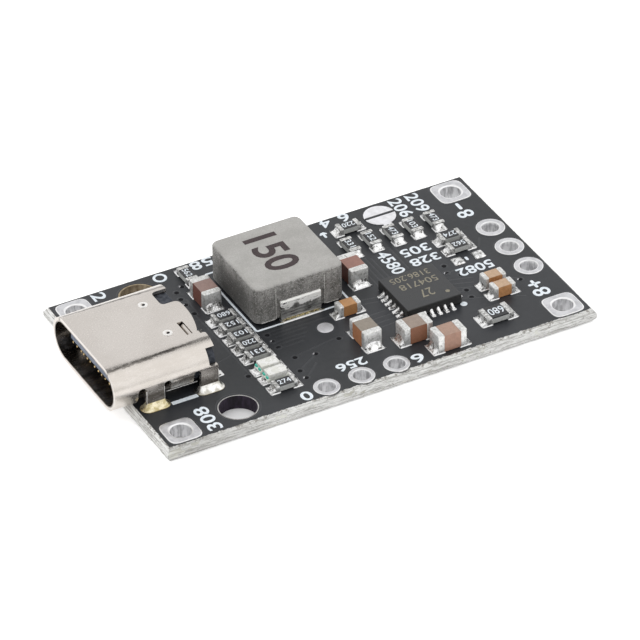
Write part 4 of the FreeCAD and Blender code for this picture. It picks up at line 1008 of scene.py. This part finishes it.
def shade_by_area(mesh):
    """Smooth shading in which large flat faces stay flat: the normal at a point is the sum of
    its faces' normals, each times the face's area."""
    count = len(mesh.polygons)
    areas = np.zeros(count)
    normals = np.zeros(count * 3)
    totals = np.zeros(count, dtype=int)
    corners = np.zeros(len(mesh.loops), dtype=int)
    mesh.polygons.foreach_get("area", areas)
    mesh.polygons.foreach_get("normal", normals)
    mesh.polygons.foreach_get("loop_total", totals)
    mesh.loops.foreach_get("vertex_index", corners)
    weighted = normals.reshape(-1, 3) * areas[:, None]
    sums = np.zeros((len(mesh.vertices), 3))
    np.add.at(sums, corners, np.repeat(weighted, totals, axis=0))
    sums /= np.maximum(np.linalg.norm(sums, axis=1), 1e-20)[:, None]
    mesh.normals_split_custom_set_from_vertices(sums.tolist())


# Two-terminal parts

SMALL_CAPACITORS = ("bootstrap_capacitor", "filter_capacitor_1", "filter_capacitor_2")
LAND_REACH = 0.36
ENDS = {
    # Kind of part: how far its ends stand proud, the rounding of their edges, the height of the
    # solder as a share of the part's, and the finish of the ends
    "resistor": (0.012, 0.05, 0.95, "resistor_tin"),
    "capacitor": (0.025, 0.08, 0.5, "dull_tin"),
    "lamp": (0.012, 0.05, 0.8, "lamp_base"),
}


class SmallPart:
    """A small part read from its solid: its middle, its size and whether it lies along Y."""

    def __init__(self, node, cap):
        low, high = box_of(node)
        size = high - low
        self.node = node
        self.quarter = 1 if size[1] > size[0] else 0
        self.length = max(size[0], size[1]) + 0.08
        self.width = min(size[0], size[1])
        self.height = high[2] - SEAT
        self.middle = (low + high)[:2] / 2
        self.cap = cap

    def place(self, piece, half=0):
        """Set a piece drawn about the part's middle in its place, on the part's first or far end."""
        return moved(piece, self.middle, 90 * self.quarter + 180 * half)

    def end(self, proud, edge):
        """One plated end: a rounded block a little proud of the body."""
        block = soft_block(self.cap, self.width + 2 * proud, SEAT - 0.01,
                           SEAT + self.height + proud, edge, edge * 1.3)
        return moved(block, (self.length / 2 - self.cap / 2, 0))

    def fillet(self, share):
        """Solder at one end of the part, from a little inside it."""
        inward = 0.06
        return flared(self.length / 2 - inward, self.width / 2 + 0.012, self.height * share,
                      LAND_REACH + inward)

    def land(self):
        """One tinned land, a low mound under and beyond the end."""
        outer = self.length / 2 + LAND_REACH
        inner = self.length / 2 - self.cap - 0.05
        land = mound((outer - inner) / 2, self.width / 2 + 0.05, 0.07, 0.055, 0.06)
        return moved(land, ((outer + inner) / 2, 0))


def gather_parts():
    """Every two-terminal part by its kind, with the length of its plated ends."""
    kinds = {"resistor": [], "capacitor": [], "lamp": []}
    for node in sorted(frame["nodes"]):
        if node.endswith("end_caps"):
            continue
        if "resistor" in node:
            kinds["resistor"].append(SmallPart(node, 0.4 if node.startswith("current") else 0.3))
        elif "capacitor" in node:
            kinds["capacitor"].append(SmallPart(node, 0.35 if node in SMALL_CAPACITORS else 0.48))
        elif node.endswith("lamp_base"):
            kinds["lamp"].append(SmallPart(node, 0.3))
    return kinds


def make_small_parts(kinds):
    """Plated ends and solder of every two-terminal part, with the solder at the chip's contacts
    and the inductor's straps; the two-terminal parts' lands are given back."""
    lands = []
    fillets = []
    for kind, (proud, edge, share, finish) in ENDS.items():
        ends = []
        for part in kinds[kind]:
            for half in (0, 1):
                ends.append(part.place(part.end(proud, edge), half))
                lands.append(part.place(part.land(), half))
                fillets.append(part.place(part.fillet(share), half))
        make_piece(kind + "_ends", ends, finish, [kind + "_end_caps"])
    toe = flared(start=1.99, half=0.13, height=0.26, reach=0.42, rows=7, columns=7)
    fillets += at_contacts(toe)
    make_piece("strap_solder", terminal_feet(), "strap_solder")
    make_piece("end_solder", fillets, "bright_solder", ["solder_fillets"])
    return lands


def at_contacts(piece, out=0.0):
    """A piece at each of the chip's contacts, six along each side and half a millimetre apart,
    moved out from the chip's middle if asked."""
    return [moved(moved(piece, (out, (step - 2.5) * 0.5)), CHIP, 90 * side)
            for side in range(4) for step in range(6)]


def terminal_feet():
    """Solder along the feet of the inductor's terminals."""
    low, high = box_of("inductor_terminals")
    middle = (low + high)[:2] / 2
    start = (high - low)[1] / 2 - 0.02
    foot = flared(start, half=1.42, height=0.07, reach=0.15, rows=7, columns=25)
    return [moved(foot, middle, turn) for turn in (90, 270)]


# Pads and lands

# A plated pad's section: the share of the way in from its outline to its hole, and the height
PAD_PROFILE = [
    (0.0, 0.02), (0.0, 1.03), (0.06, 1.050), (0.2, 1.06), (0.5, 1.062), (0.74, 1.059),
    (0.90, 1.045), (1.0, 0.99), (1.0, 0.6), (1.0, 0.3), (1.0, 0.03), (0.95, -0.004),
    (0.7, -0.012), (0.1, -0.012), (0.03, -0.004),
]


def plated_pad(outline, bore):
    """A pad, its plated hole wall and the ring below, as one loop of rings between the outline
    and the hole: share t of the way in, at height z."""
    hole = circle_ring(bore / 2 - 0.025)
    return looped(np.array([lifted(outline * (1 - t) + hole * t, z) for t, z in PAD_PROFILE]))


def make_pads(lands):
    """Plated pads, the bare test pad, the split pad and every land."""
    for kind, outline, bore, places in (
        ("corner", square_ring(CORNER_SIDE), 1.45, CORNER_PADS),
        ("end", circle_ring(END_RADIUS), 1.2, END_PADS),
        ("side", circle_ring(SIDE_RADIUS), 1.2, SIDE_PADS),
    ):
        rings = [moved(plated_pad(outline, bore), at) for at in places]
        make_piece(kind + "_pad_rings", rings, "tinned_copper", [kind + "_pads"])
    dot = button(TEST_RADIUS, 32, BOARD_TOP, 0.05, 0.06)
    make_piece("test_pad_dot", [moved(dot, TEST_PAD)], "flat_tin", ["test_pad"])
    softened("jumper_pads", "split_pad", 0.02, 2, "split_tin")
    make_collars()

    lands = lands + at_contacts(mound(0.4, 0.14, 0.05, 0.05, 0.04), 2.05)
    strap_land = mound(1.475, 0.3, 0.08, 0.055, 0.06)
    for side in SIDES:
        lands.append(moved(strap_land, (-1.39, 3.2 + side * 3.3)))
        for y, half_wide in TAILS:
            lands.append(moved(mound(0.45, half_wide, 0.05, 0.05, 0.04), (TAILS_X, side * y)))
    make_piece("land_mounds", lands, "tinned_copper", ["component_lands"])
    dome = mound(0.3875, 0.4, 0.06, 0.13, 0.2)
    domes = [moved(dome, (11.2 + side * 0.7725, 0.19)) for side in SIDES]
    make_piece("spare_land_solder", domes, "bright_solder")
    gap = strip((7.36, 7.38), (9.60, 7.38), 0.23, 0.026, SEAT - 0.002)
    make_piece("split_pad_gap", [gap], "resist")


def lip(outline_at, near, far):
    """A low lip on the board round an outline, from near to far out from it."""
    levels = ((far, -0.002), (far - 0.03, 0.012), (near + 0.02, 0.012), (near, -0.002))
    return looped(np.array([lifted(outline_at(grow), BOARD_TOP + z) for grow, z in levels]))


def round_lip(radius, near, far, at):
    """A low lip round a circle, at a place."""
    return moved(lip(lambda grow: circle_ring(radius + grow), near, far), at)


def make_collars():
    """The step where the resist ends: a low lip round each pad, and bare rings round the holes."""
    square = lip(lambda grow: square_ring(CORNER_SIDE + 2 * grow), 0.04, 0.13)
    lips = [moved(square, at) for at in CORNER_PADS]
    for radius, near, far, places in (
        (END_RADIUS, 0.04, 0.13, END_PADS),
        (SIDE_RADIUS, 0.04, 0.13, SIDE_PADS),
        (TEST_RADIUS, 0.03, 0.10, [TEST_PAD]),
        (HOLE_RADIUS, 0.16, 0.26, [NEAR_HOLE, FAR_HOLE]),
    ):
        lips += [round_lip(radius, near, far, at) for at in places]
    make_piece("resist_lips", lips, "resist")
    make_piece("near_hole_rim", [round_lip(HOLE_RADIUS, 0.002, 0.08, NEAR_HOLE)],
               "pale_laminate")
    make_piece("far_hole_rim", [round_lip(HOLE_RADIUS, 0.002, 0.11, FAR_HOLE)],
               "tan_laminate")


# Socket solder, board edges, print and covered copper

def make_leg_solder():
    """Solder round each shell leg: a plug in its slot, then rings that shrink from the land's
    outline to the leg while they climb by 0.42 v^2.4 and a low hump of 0.05 sin(pi v)."""
    outer = rectangle_ring(1.03, 0.56, 0.54, 6)
    slot = rectangle_ring(0.8, 0.33, 0.31, 6)
    leg = rectangle_ring(0.63, 0.16, 0.02, 6)
    rings = [lifted(slot, 0.0), lifted(slot, 0.99), lifted(outer, 0.99), lifted(outer, 1.03)]
    for v in np.linspace(0.08, 1, 9):
        height = 1.05 + 0.05 * math.sin(v * math.pi) + 0.42 * v ** 2.4
        rings.append(lifted(outer * (1 - v) + leg * v, height))
    parts = [moved(stacked(np.array(rings)), at) for at in SHELL_LEGS]
    make_piece("leg_solder_mounds", parts, "leg_solder", ["socket_leg_solder"])


def drifting(rng, rows, count, cells, bands):
    """Noise over rows by count that drifts slowly along an edge, from bands by cells knots."""
    knots = rng.normal(0, 1, (bands, cells))
    along = np.array([np.interp(np.linspace(0, 1, count), np.linspace(0, 1, cells), row)
                      for row in knots])
    levels = np.linspace(0, 1, bands)
    return np.array([np.interp(np.linspace(0, 1, rows), levels, column) for column in along.T]).T


def torn_edges():
    """The board's snapped edges: point (s, z) of each wall is pushed out from the scored profile
    by drifting noise, and the wall's lip laps a ragged distance over the resist."""
    rng = np.random.default_rng(7)
    step = 0.09
    rows = 13
    proud = 0.012
    walls = {"long": [], "short": []}
    for side, length, middle, turn, ragged, lapped in (
        ("long", 2 * HALF_LONG, HALF_WIDE, -90, 0.055, 0.045),
        ("long", 2 * HALF_LONG, HALF_WIDE, 90, 0.03, 0.006),
        ("short", 2 * HALF_WIDE, HALF_LONG, 0, 0.02, 0.004),
        ("short", 2 * HALF_WIDE, HALF_LONG, 180, 0.03, 0.020),
    ):
        count = int(length / step)
        s = np.linspace(-length / 2, length / 2, count)[None, :]
        z = np.linspace(0, 1, rows)[:, None]
        flank = SCORE * np.clip((abs(z - 0.5) - 0.15) / 0.35, 0, 1)
        rough = (0.45 * drifting(rng, rows, count, count // 16, 5)
                 + 0.35 * drifting(rng, rows, count, count // 6, 9)
                 + 0.35 * drifting(rng, rows, count, count // 2, 13))
        fade = np.minimum(1, 4 * np.minimum(z, 1 - z) + 0.25)
        out = middle - flank + proud + ragged * fade * np.clip(rough + 0.35, -0.3, 2.0)
        ends = np.clip((length / 2 - abs(s)) / SCORE, 0, 1)
        out = np.where(ends < 1, np.minimum(out, middle - flank + proud + 0.03 * ends), out)
        reach = length / 2 - flank
        wall = np.stack([out + 0 * s, np.clip(s + 0 * z, -reach, reach), z + 0 * s], axis=-1)
        bite = abs(drifting(rng, 1, count, count // 3, 1)) + 0.6 * abs(
            drifting(rng, 1, count, count, 1))
        lap = np.clip(lapped * bite + 0.006, 0.006, 0.14)
        lip_reach = length / 2 - SCORE - lap
        lap_at = np.clip(s, -lip_reach, lip_reach)
        lap_line = np.stack([middle - SCORE - lap, lap_at, 0 * s + 1.004], axis=-1)
        crest = wall[-1:].copy()
        crest[:, :, 2] = 1.006
        grid = np.concatenate([wall, crest, lap_line, lap_line - (0, 0, 0.008)])
        index = np.arange((rows + 3) * count).reshape(rows + 3, count)
        torn = (grid.reshape(-1, 3), grid_quads(index).tolist())
        walls[side].append(moved(torn, (0, 0), turn))
    for side, parts in walls.items():
        make_piece(side + "_torn_edges", parts, side + "_fibre")


PRINTED = [
    # Figures, middle x and y, turn, length, height
    ("2", -11.91, 8.22, 270, 0.85, 0.95),
    ("8", -4.8, 8.25, 180, 0.75, 0.95),
    ("5", -3.9, 8.3, 180, 0.75, 0.95),
    ("4", 4.9, 8.35, 180, 0.75, 0.95),
    ("6", 6.3, 8.35, 180, 0.75, 0.95),
    ("308", -11.85, -7.15, 90, 2.6, 1.0),
    ("0", -5.25, -8.1, 180, 0.8, 0.95),
    ("256", -1.15, -6.5, 180, 2.1, 0.85),
    ("6", 2.9, -8.0, 180, 0.85, 0.95),
    ("206", 10.15, 7.5, 270, 2.2, 0.95),
    ("209", 11.4, 7.5, 270, 2.2, 0.95),
    ("8", 13.55, 4.75, 90, 0.8, 1.15),
    ("4580", 6.5, 2.22, 270, 2.7, 0.95),
    ("305", 8.6, 2.7, 180, 2.1, 0.9),
    ("328", 8.65, 1.45, 180, 2.1, 0.85),
    ("5082", 11.05, -1.03, 180, 2.6, 0.9),
    ("8", 13.48, -5.5, 90, 0.85, 1.2),
]
# Strokes of print: start, end and width; four of them frame the inductor
STROKES = [
    ((13.6, 5.35), (13.6, 6.15), 0.24), ((13.5, -4.95), (13.5, -4.05), 0.22),
    ((13.05, -4.5), (13.95, -4.5), 0.22), ((11.085, 0.0), (11.085, 0.42), 0.2),
    ((-4.75, -0.3), (2.15, -0.3), 0.16), ((-4.75, 7.03), (2.15, 7.03), 0.16),
    ((-4.75, -0.3), (-4.75, 7.03), 0.16), ((2.15, -0.3), (2.15, 7.03), 0.16),
    ((4.2, 6.85), (4.2, 7.5), 0.18), ((3.95, 7.25), (4.2, 7.5), 0.16),
    ((4.45, 7.25), (4.2, 7.5), 0.16),
]
# Raised covered traces: from x, y to x, y
TRACES = [
    (-4.6, -0.75, -0.4, -0.75), (-4.0, -1.1, 0.2, -1.1), (-4.0, -1.45, -1.6, -1.45),
    (-4.5, -1.9, -1.9, -1.9), (-4.5, -2.25, -2.2, -2.25), (-4.5, -2.65, -2.5, -2.65),
    (-3.7, -3.9, -0.6, -3.4), (-4.1, -5.3, -2.8, -4.5), (-4.1, -6.2, -3.0, -5.2),
    (-7.35, -4.25, -7.35, 3.2), (-7.1, 3.6, -7.1, 5.2),
    (4.9, 3.6, 4.9, 0.1), (5.25, 3.6, 5.25, 0.1), (5.6, 3.3, 5.6, 0.1), (4.5, 3.2, 4.5, 0.1),
    (2.3, -0.5, 4.1, -0.85), (2.3, -1.0, 4.1, -1.35), (1.2, -2.4, 4.1, -2.35),
    (1.0, -2.9, 4.1, -2.85), (1.4, -3.4, 4.1, -3.35), (2.2, -3.9, 4.2, -3.8),
    (8.6, -0.85, 10.1, -0.5), (8.6, -1.35, 10.4, -1.9), (8.6, -1.85, 10.2, -2.4),
    (8.6, -2.35, 10.0, -2.9), (8.6, -2.85, 9.2, -3.0), (8.5, -3.6, 12.4, -5.4),
    (12.4, -3.1, 13.0, -3.5), (12.4, 0.9, 13.0, 1.9), (7.2, 1.0, 7.2, 3.9),
    (7.55, 1.0, 7.55, 3.9), (-8.7, 3.2, -7.4, 2.6), (-8.7, -2.2, -6.9, -1.7),
]
VIAS = [
    (-6.7, 6.55), (-7.3, 6.1), (-7.4, 5.3), (-7.4, 4.6), (-7.35, 3.45), (-3.95, -4.05),
    (-2.6, -4.35), (-0.5, -3.6), (-4.35, -5.5), (-4.35, -6.35), (-7.5, -4.4), (-4.35, -1.0),
    (-4.35, -1.8), (-4.35, -2.55), (9.35, 0.15), (9.1, -0.65), (9.3, -2.95), (9.2, -3.8),
    (12.95, -3.6), (9.85, -1.25),
]


def make_print():
    """White print: plain figures, strokes, a bar, a dot and a ring; and the covered traces."""
    height = BOARD_TOP + 0.001
    thick = 0.014
    parts = [words(text, (x, y), turn, length, tall, height, thick, 0.022)
             for text, x, y, turn, length, tall in PRINTED]
    parts += [strip(start, end, width, thick, height) for start, end, width in STROKES]
    parts.append(bar((-13.1, -4.79), (-11.25, -4.46), height, 0.02))
    parts.append(moved(button(0.24, 24, height, thick, 0.01), (8.4, -4.2)))
    ring = turned_ring(((0.48, 0), (0.48, thick), (0.3, thick), (0.3, 0)), 32, height)
    parts.append(moved(ring, (-7.5, 8.15)))
    make_piece("board_print", parts, "print_white", flat=True)
    ribbons = [strip((x0, y0), (x1, y1), 0.15, 0.009, BOARD_TOP - 0.003)
               for x0, y0, x1, y1 in TRACES]
    make_piece("covered_traces", ribbons, "resist")


def make_vias():
    """Covered vias: a raised rim of resist round a dark dimple, and a glint on every third."""
    profile = ((0.29, -0.002), (0.26, 0.010), (0.20, 0.014), (0.17, 0.008), (0.16, -0.002))
    rim = turned_ring(profile, 20, BOARD_TOP)
    dimple = button(0.165, 16, BOARD_TOP - 0.002, 0.007, 0.02)
    glint = mound(0.10, 0.045, 0.04, 0.018, 0.02)
    make_piece("via_rims", [moved(rim, at) for at in VIAS], "resist")
    make_piece("via_dimples", [moved(dimple, at) for at in VIAS], "via_dark")
    glints = [moved(glint, (x - 0.10, y + 0.10), 45) for x, y in VIAS[::3]]
    make_piece("via_glints", glints, "flat_tin")


# Marks on the parts, and the inductor's seams

# A pale ridge's size along X and Y, bottom and top, and the radius of its edges and of its
# corners; the ridges are painted paler than the faces as highlights
RIDGE = (0.05, 0.05, 1.28, 3.7, 0.015, 0.02)
# Where the upright ridges stand along X, and the inductor's near and far faces along Y
RIDGES_X = (-3.165, 0.385)
INDUCTOR_FACES = (-0.03, 6.43)
# Middle and length of the ridges along the foot
FOOT_RIDGES = ((-3.75, 1.0), (0.95, 0.9))
# The lamps' marks, along and across from the middle of a lamp
GREEN_MARKS = ((-0.70, 0.26), (-0.70, -0.20))
GILT_MARKS = ((0.70, 0.22), (0.71, -0.24))

RESISTOR_FIGURES = ("220", "473", "331", "680", "152", "274", "562", "103")
CHIP_FIGURES = (
    # Figures, middle, length, height
    ("504718", (6.45, -1.67), 2.75, 0.62),
    ("3186.205", (6.28, -0.76), 2.85, 0.58),
    ("27", (6.4, -2.85), 0.95, 0.85),
)


def resistor_figures(resistors):
    """Plain figures along each resistor, between its plated ends."""
    marks = []
    for index, part in enumerate(resistors):
        turn = 270 if part.quarter else 180
        if part.node == "full_lamp_resistor":
            turn = 0
        text = RESISTOR_FIGURES[index % len(RESISTOR_FIGURES)]
        length = part.length - 2 * part.cap - 0.12
        marks.append(words(text, part.middle, turn, length, part.width * 0.56,
                           SEAT + part.height - 0.004, 0.01, 0.004))
    make_piece("resistor_figures", marks, "print_white", flat=True)


def inductor_marks():
    """Plain figures on the inductor's top, and raised pale ridges on its near and far faces, up
    beside the straps and along the foot, painted paler than the faces as highlights."""
    top = box_of("inductor_core")[1][2]
    value = words("150", (-1.63, 3.3), 270, 4.1, 2.4, top - 0.003, 0.012, 0.07)
    make_piece("inductor_figures", [value], "marking_ink", flat=True)
    ridges = []
    for face in INDUCTOR_FACES:
        ridges += [small_block(RIDGE, (x, face)) for x in RIDGES_X]
        ridges += [small_block((length, 0.05, 1.25, 1.32, 0.015, 0.02), (x, face))
                  for x, length in FOOT_RIDGES]
    make_piece("inductor_edge_ridges", ridges, "ridge_highlight_iron")


def chip_figures():
    """Rows of plain figures on the chip, and the dot by its first contact."""
    height = box_of("charger_chip")[1][2] - 0.003
    rows = [words(text, at, 180, length, tall, height, 0.008)
            for text, at, length, tall in CHIP_FIGURES]
    rows.append(moved(button(0.15, 20, height, 0.01, 0.01), (7.66, -3.38)))
    make_piece("chip_figures", rows, "laser_mark", flat=True)


def lamp_marks():
    """Each lamp's milky block, green marks at one end of it and small gilt ones at the other."""
    green = []
    gilt = []
    for lamp in ("charging_lamp", "full_lamp"):
        low, high = box_of(lamp + "_base")
        x, y = (low + high)[:2] / 2
        top = high[2]
        dome = soft_block(1.34, 0.80, top - 0.01, box_of(lamp + "_lens")[1][2], 0.04, 0.07)
        make_piece(lamp + "_dome", [moved(dome, (x, y))], "lamp_clear",
                   [lamp + "_lens"])
        sizes = (0.14, 0.26, top - 0.05, top + 0.13, 0.02, 0.04)
        green += [small_block(sizes, (x + along, y + side)) for along, side in GREEN_MARKS]
        sizes = (0.08, 0.10, top - 0.05, top + 0.07, 0.02, 0.03)
        gilt += [small_block(sizes, (x + along, y + side)) for along, side in GILT_MARKS]
    make_piece("lamp_green_marks", green, "lamp_green")
    make_piece("lamp_gilt_marks", gilt, "gilt")


# The socket

DENTS = ((-11.76, 1.92), (-11.76, -1.6))
# Small blocks: size along X and Y, bottom and top, radius of the edges and of the corners
LANCE = (0.66, 0.05, 2.44, 2.60, 0.015, 0.02)
# UPRIGHT and LEDGE are near-white strips painted as highlights on the shell's sides
UPRIGHT = (0.05, 0.05, 1.25, 2.42, 0.015, 0.02)
LEDGE = (2.2, 0.04, 1.83, 1.88, 0.012, 0.015)
CONTACT_END = (0.08, 0.11, 2.27, 2.41, 0.02, 0.03)
UPRIGHTS_X = (-14.75, -13.5, -9.65)
CONTACTS_Y = (2.81, 2.25, 1.64, 1.27, 0.77, 0.34, -0.28, -0.83, -1.3, -1.81, -2.4, -2.85)
SHELL_CORNERS = [
    # Middle x, y and z of a cut corner of the shell, and its rounding
    (-10.73, 1.31, 4.05, 0.30), (-10.73, 2.86, 4.05, 0.30), (-9.63, 1.31, 4.05, 0.34),
    (-10.25, -4.31, 2.78, 0.22), (-10.25, 4.31, 2.78, 0.22),
    (-9.63, -4.31, 2.78, 0.18), (-9.63, 4.31, 2.78, 0.18), (-9.63, -2.35, 4.05, 0.10),
    (-9.63, -2.65, 4.05, 0.14),
]

# The crown between the shell's rear notches: its ends along Y, the lowest point that it moves,
# where it starts along X, and over what length it grows to the full
CROWN_Y = (-2.345, 1.32)
CROWN_Z = 3.85
CROWN_X = -10.3
CROWN_RUN = 0.5


def crowned(work):
    """Round the shell's cut corners and crown its rear edge: between the notches a point at y is
    moved along X by 0.13 - 0.075 (y - 0.3)^2, which grows from nought over the crown's run."""
    for x, y, z, radius in SHELL_CORNERS:
        place = Vector((x, y, z)) * MM
        edges = [edge for edge in work.edges
                 if ((edge.verts[0].co + edge.verts[1].co) / 2 - place).length < 0.03 * MM
                 and 0.28 * MM < edge.calc_length() < 0.32 * MM]
        round_edges(work, edges, radius, 5)
    for y in [-2.77, 2.77] + np.linspace(-2.2, 1.1, 12).tolist():
        geometry = work.verts[:] + work.edges[:] + work.faces[:]
        bmesh.ops.bisect_plane(work, geom=geometry, dist=1e-8, plane_co=(0, y * MM, 0),
                               plane_no=(0, 1, 0))
    for point in work.verts:
        x, y, z = point.co / MM
        if z > CROWN_Z and CROWN_Y[0] < y < CROWN_Y[1]:
            share = min(1.0, max(0.0, (x - CROWN_X) / CROWN_RUN))
            point.co.x += share * (0.13 - 0.075 * (y - 0.3) ** 2) * MM


def sprung_strip():
    """The strip under the shell's slot: point (v, u) lies 0.42 v further to the mouth than its
    root, at u across, and 0.42 v^1.5 below it."""
    across = np.linspace(-0.62, 0.62, 9)[None, :]
    along = np.linspace(0, 1, 5)[:, None]
    slope = np.stack([-10.36 - 0.42 * along + 0 * across, -1.68 + across + 0 * along,
                      4.08 - 0.42 * along ** 1.5 + 0 * across], axis=-1)
    return sheet_over(slope, 3.55)


def socket_trim():
    """Small things on the socket: the dents, with painted highlights on their rims and painted
    shade in their pits, the side lances, near-white strips painted as highlights along edges,
    the sprung strip and the ends of the contacts."""
    top = box_of("socket_shell")[1][2]
    # Each dent: a bright rim ring as its painted highlight, and a dark pit as its painted shade
    profile = ((0.34, -0.03), (0.32, 0.012), (0.25, 0.03), (0.15, 0.012), (0.14, -0.05))
    rim = turned_ring(profile, 24, top)
    pit = button(0.15, 16, top - 0.12, 0.12, 0.03)
    fill = (0.46, 0.78, top - 0.16, top - 0.004, 0.02, 0.05)
    bright = [small_block(fill, at) for at in DENTS]
    painted_highlights = [moved(rim, at) for at in DENTS]
    painted_dark = [moved(pit, (x + 0.04, y - 0.04), 0, 0.002) for x, y in DENTS]
    for side in SIDES:
        bright.append(small_block(LANCE, (-12.52, side * 4.455)))
        # Painted highlights: near-white strips up the shell's sides, and one along a ledge
        painted_highlights += [small_block(UPRIGHT, (x, side * 4.452)) for x in UPRIGHTS_X]
        painted_highlights.append(small_block(LEDGE, (-12.2, side * 4.3)))
    bright.append(sprung_strip())
    make_piece("shell_trim", bright, "shell_nickel")
    make_piece("shell_highlight_strips", painted_highlights, "highlight_steel")
    make_piece("shell_pit_shade", painted_dark, "via_dark")
    tips = [small_block(CONTACT_END, (-16.36, y)) for y in CONTACTS_Y]
    make_piece("contact_ends", tips, "gilt")


def main():
    """Set the stage, dress the solids and add what they lack."""
    bpy.context.scene.view_settings.view_transform = "Standard"
    set_camera()
    set_world()
    set_floor()
    set_card("upper_card", (0.148, 0.183, 0.441), half_wide=0.15, half_tall=0.04)
    set_lamp("key", (-0.25, 0.10, 0.55), size=0.8, power=2.15, mirrored=False)
    set_lamp("fill", (0.35, -0.35, 0.45), size=0.9, power=0.8, mirrored=True)
    build_finishes()
    dress_solids()
    kinds = gather_parts()
    lands = make_small_parts(kinds)
    for part in kinds["resistor"] + kinds["capacitor"]:
        softened(part.node, part.node + "_body", 0.03, 2)
    make_pads(lands)
    make_leg_solder()
    torn_edges()
    make_print()
    make_vias()
    resistor_figures(kinds["resistor"])
    inductor_marks()
    chip_figures()
    socket_trim()
    lamp_marks()
    softened("socket_shell", "shell_sheet", 0.05, 3, reshape=crowned)
    softened("inductor_core", "inductor_block", 0.06, 3)
    softened("inductor_terminals", "inductor_straps", 0.04, 2)
    softened("charger_chip", "chip_block", 0.03, 2)
    softened("socket_housing", "insulator_block", 0.03, 2)


main()
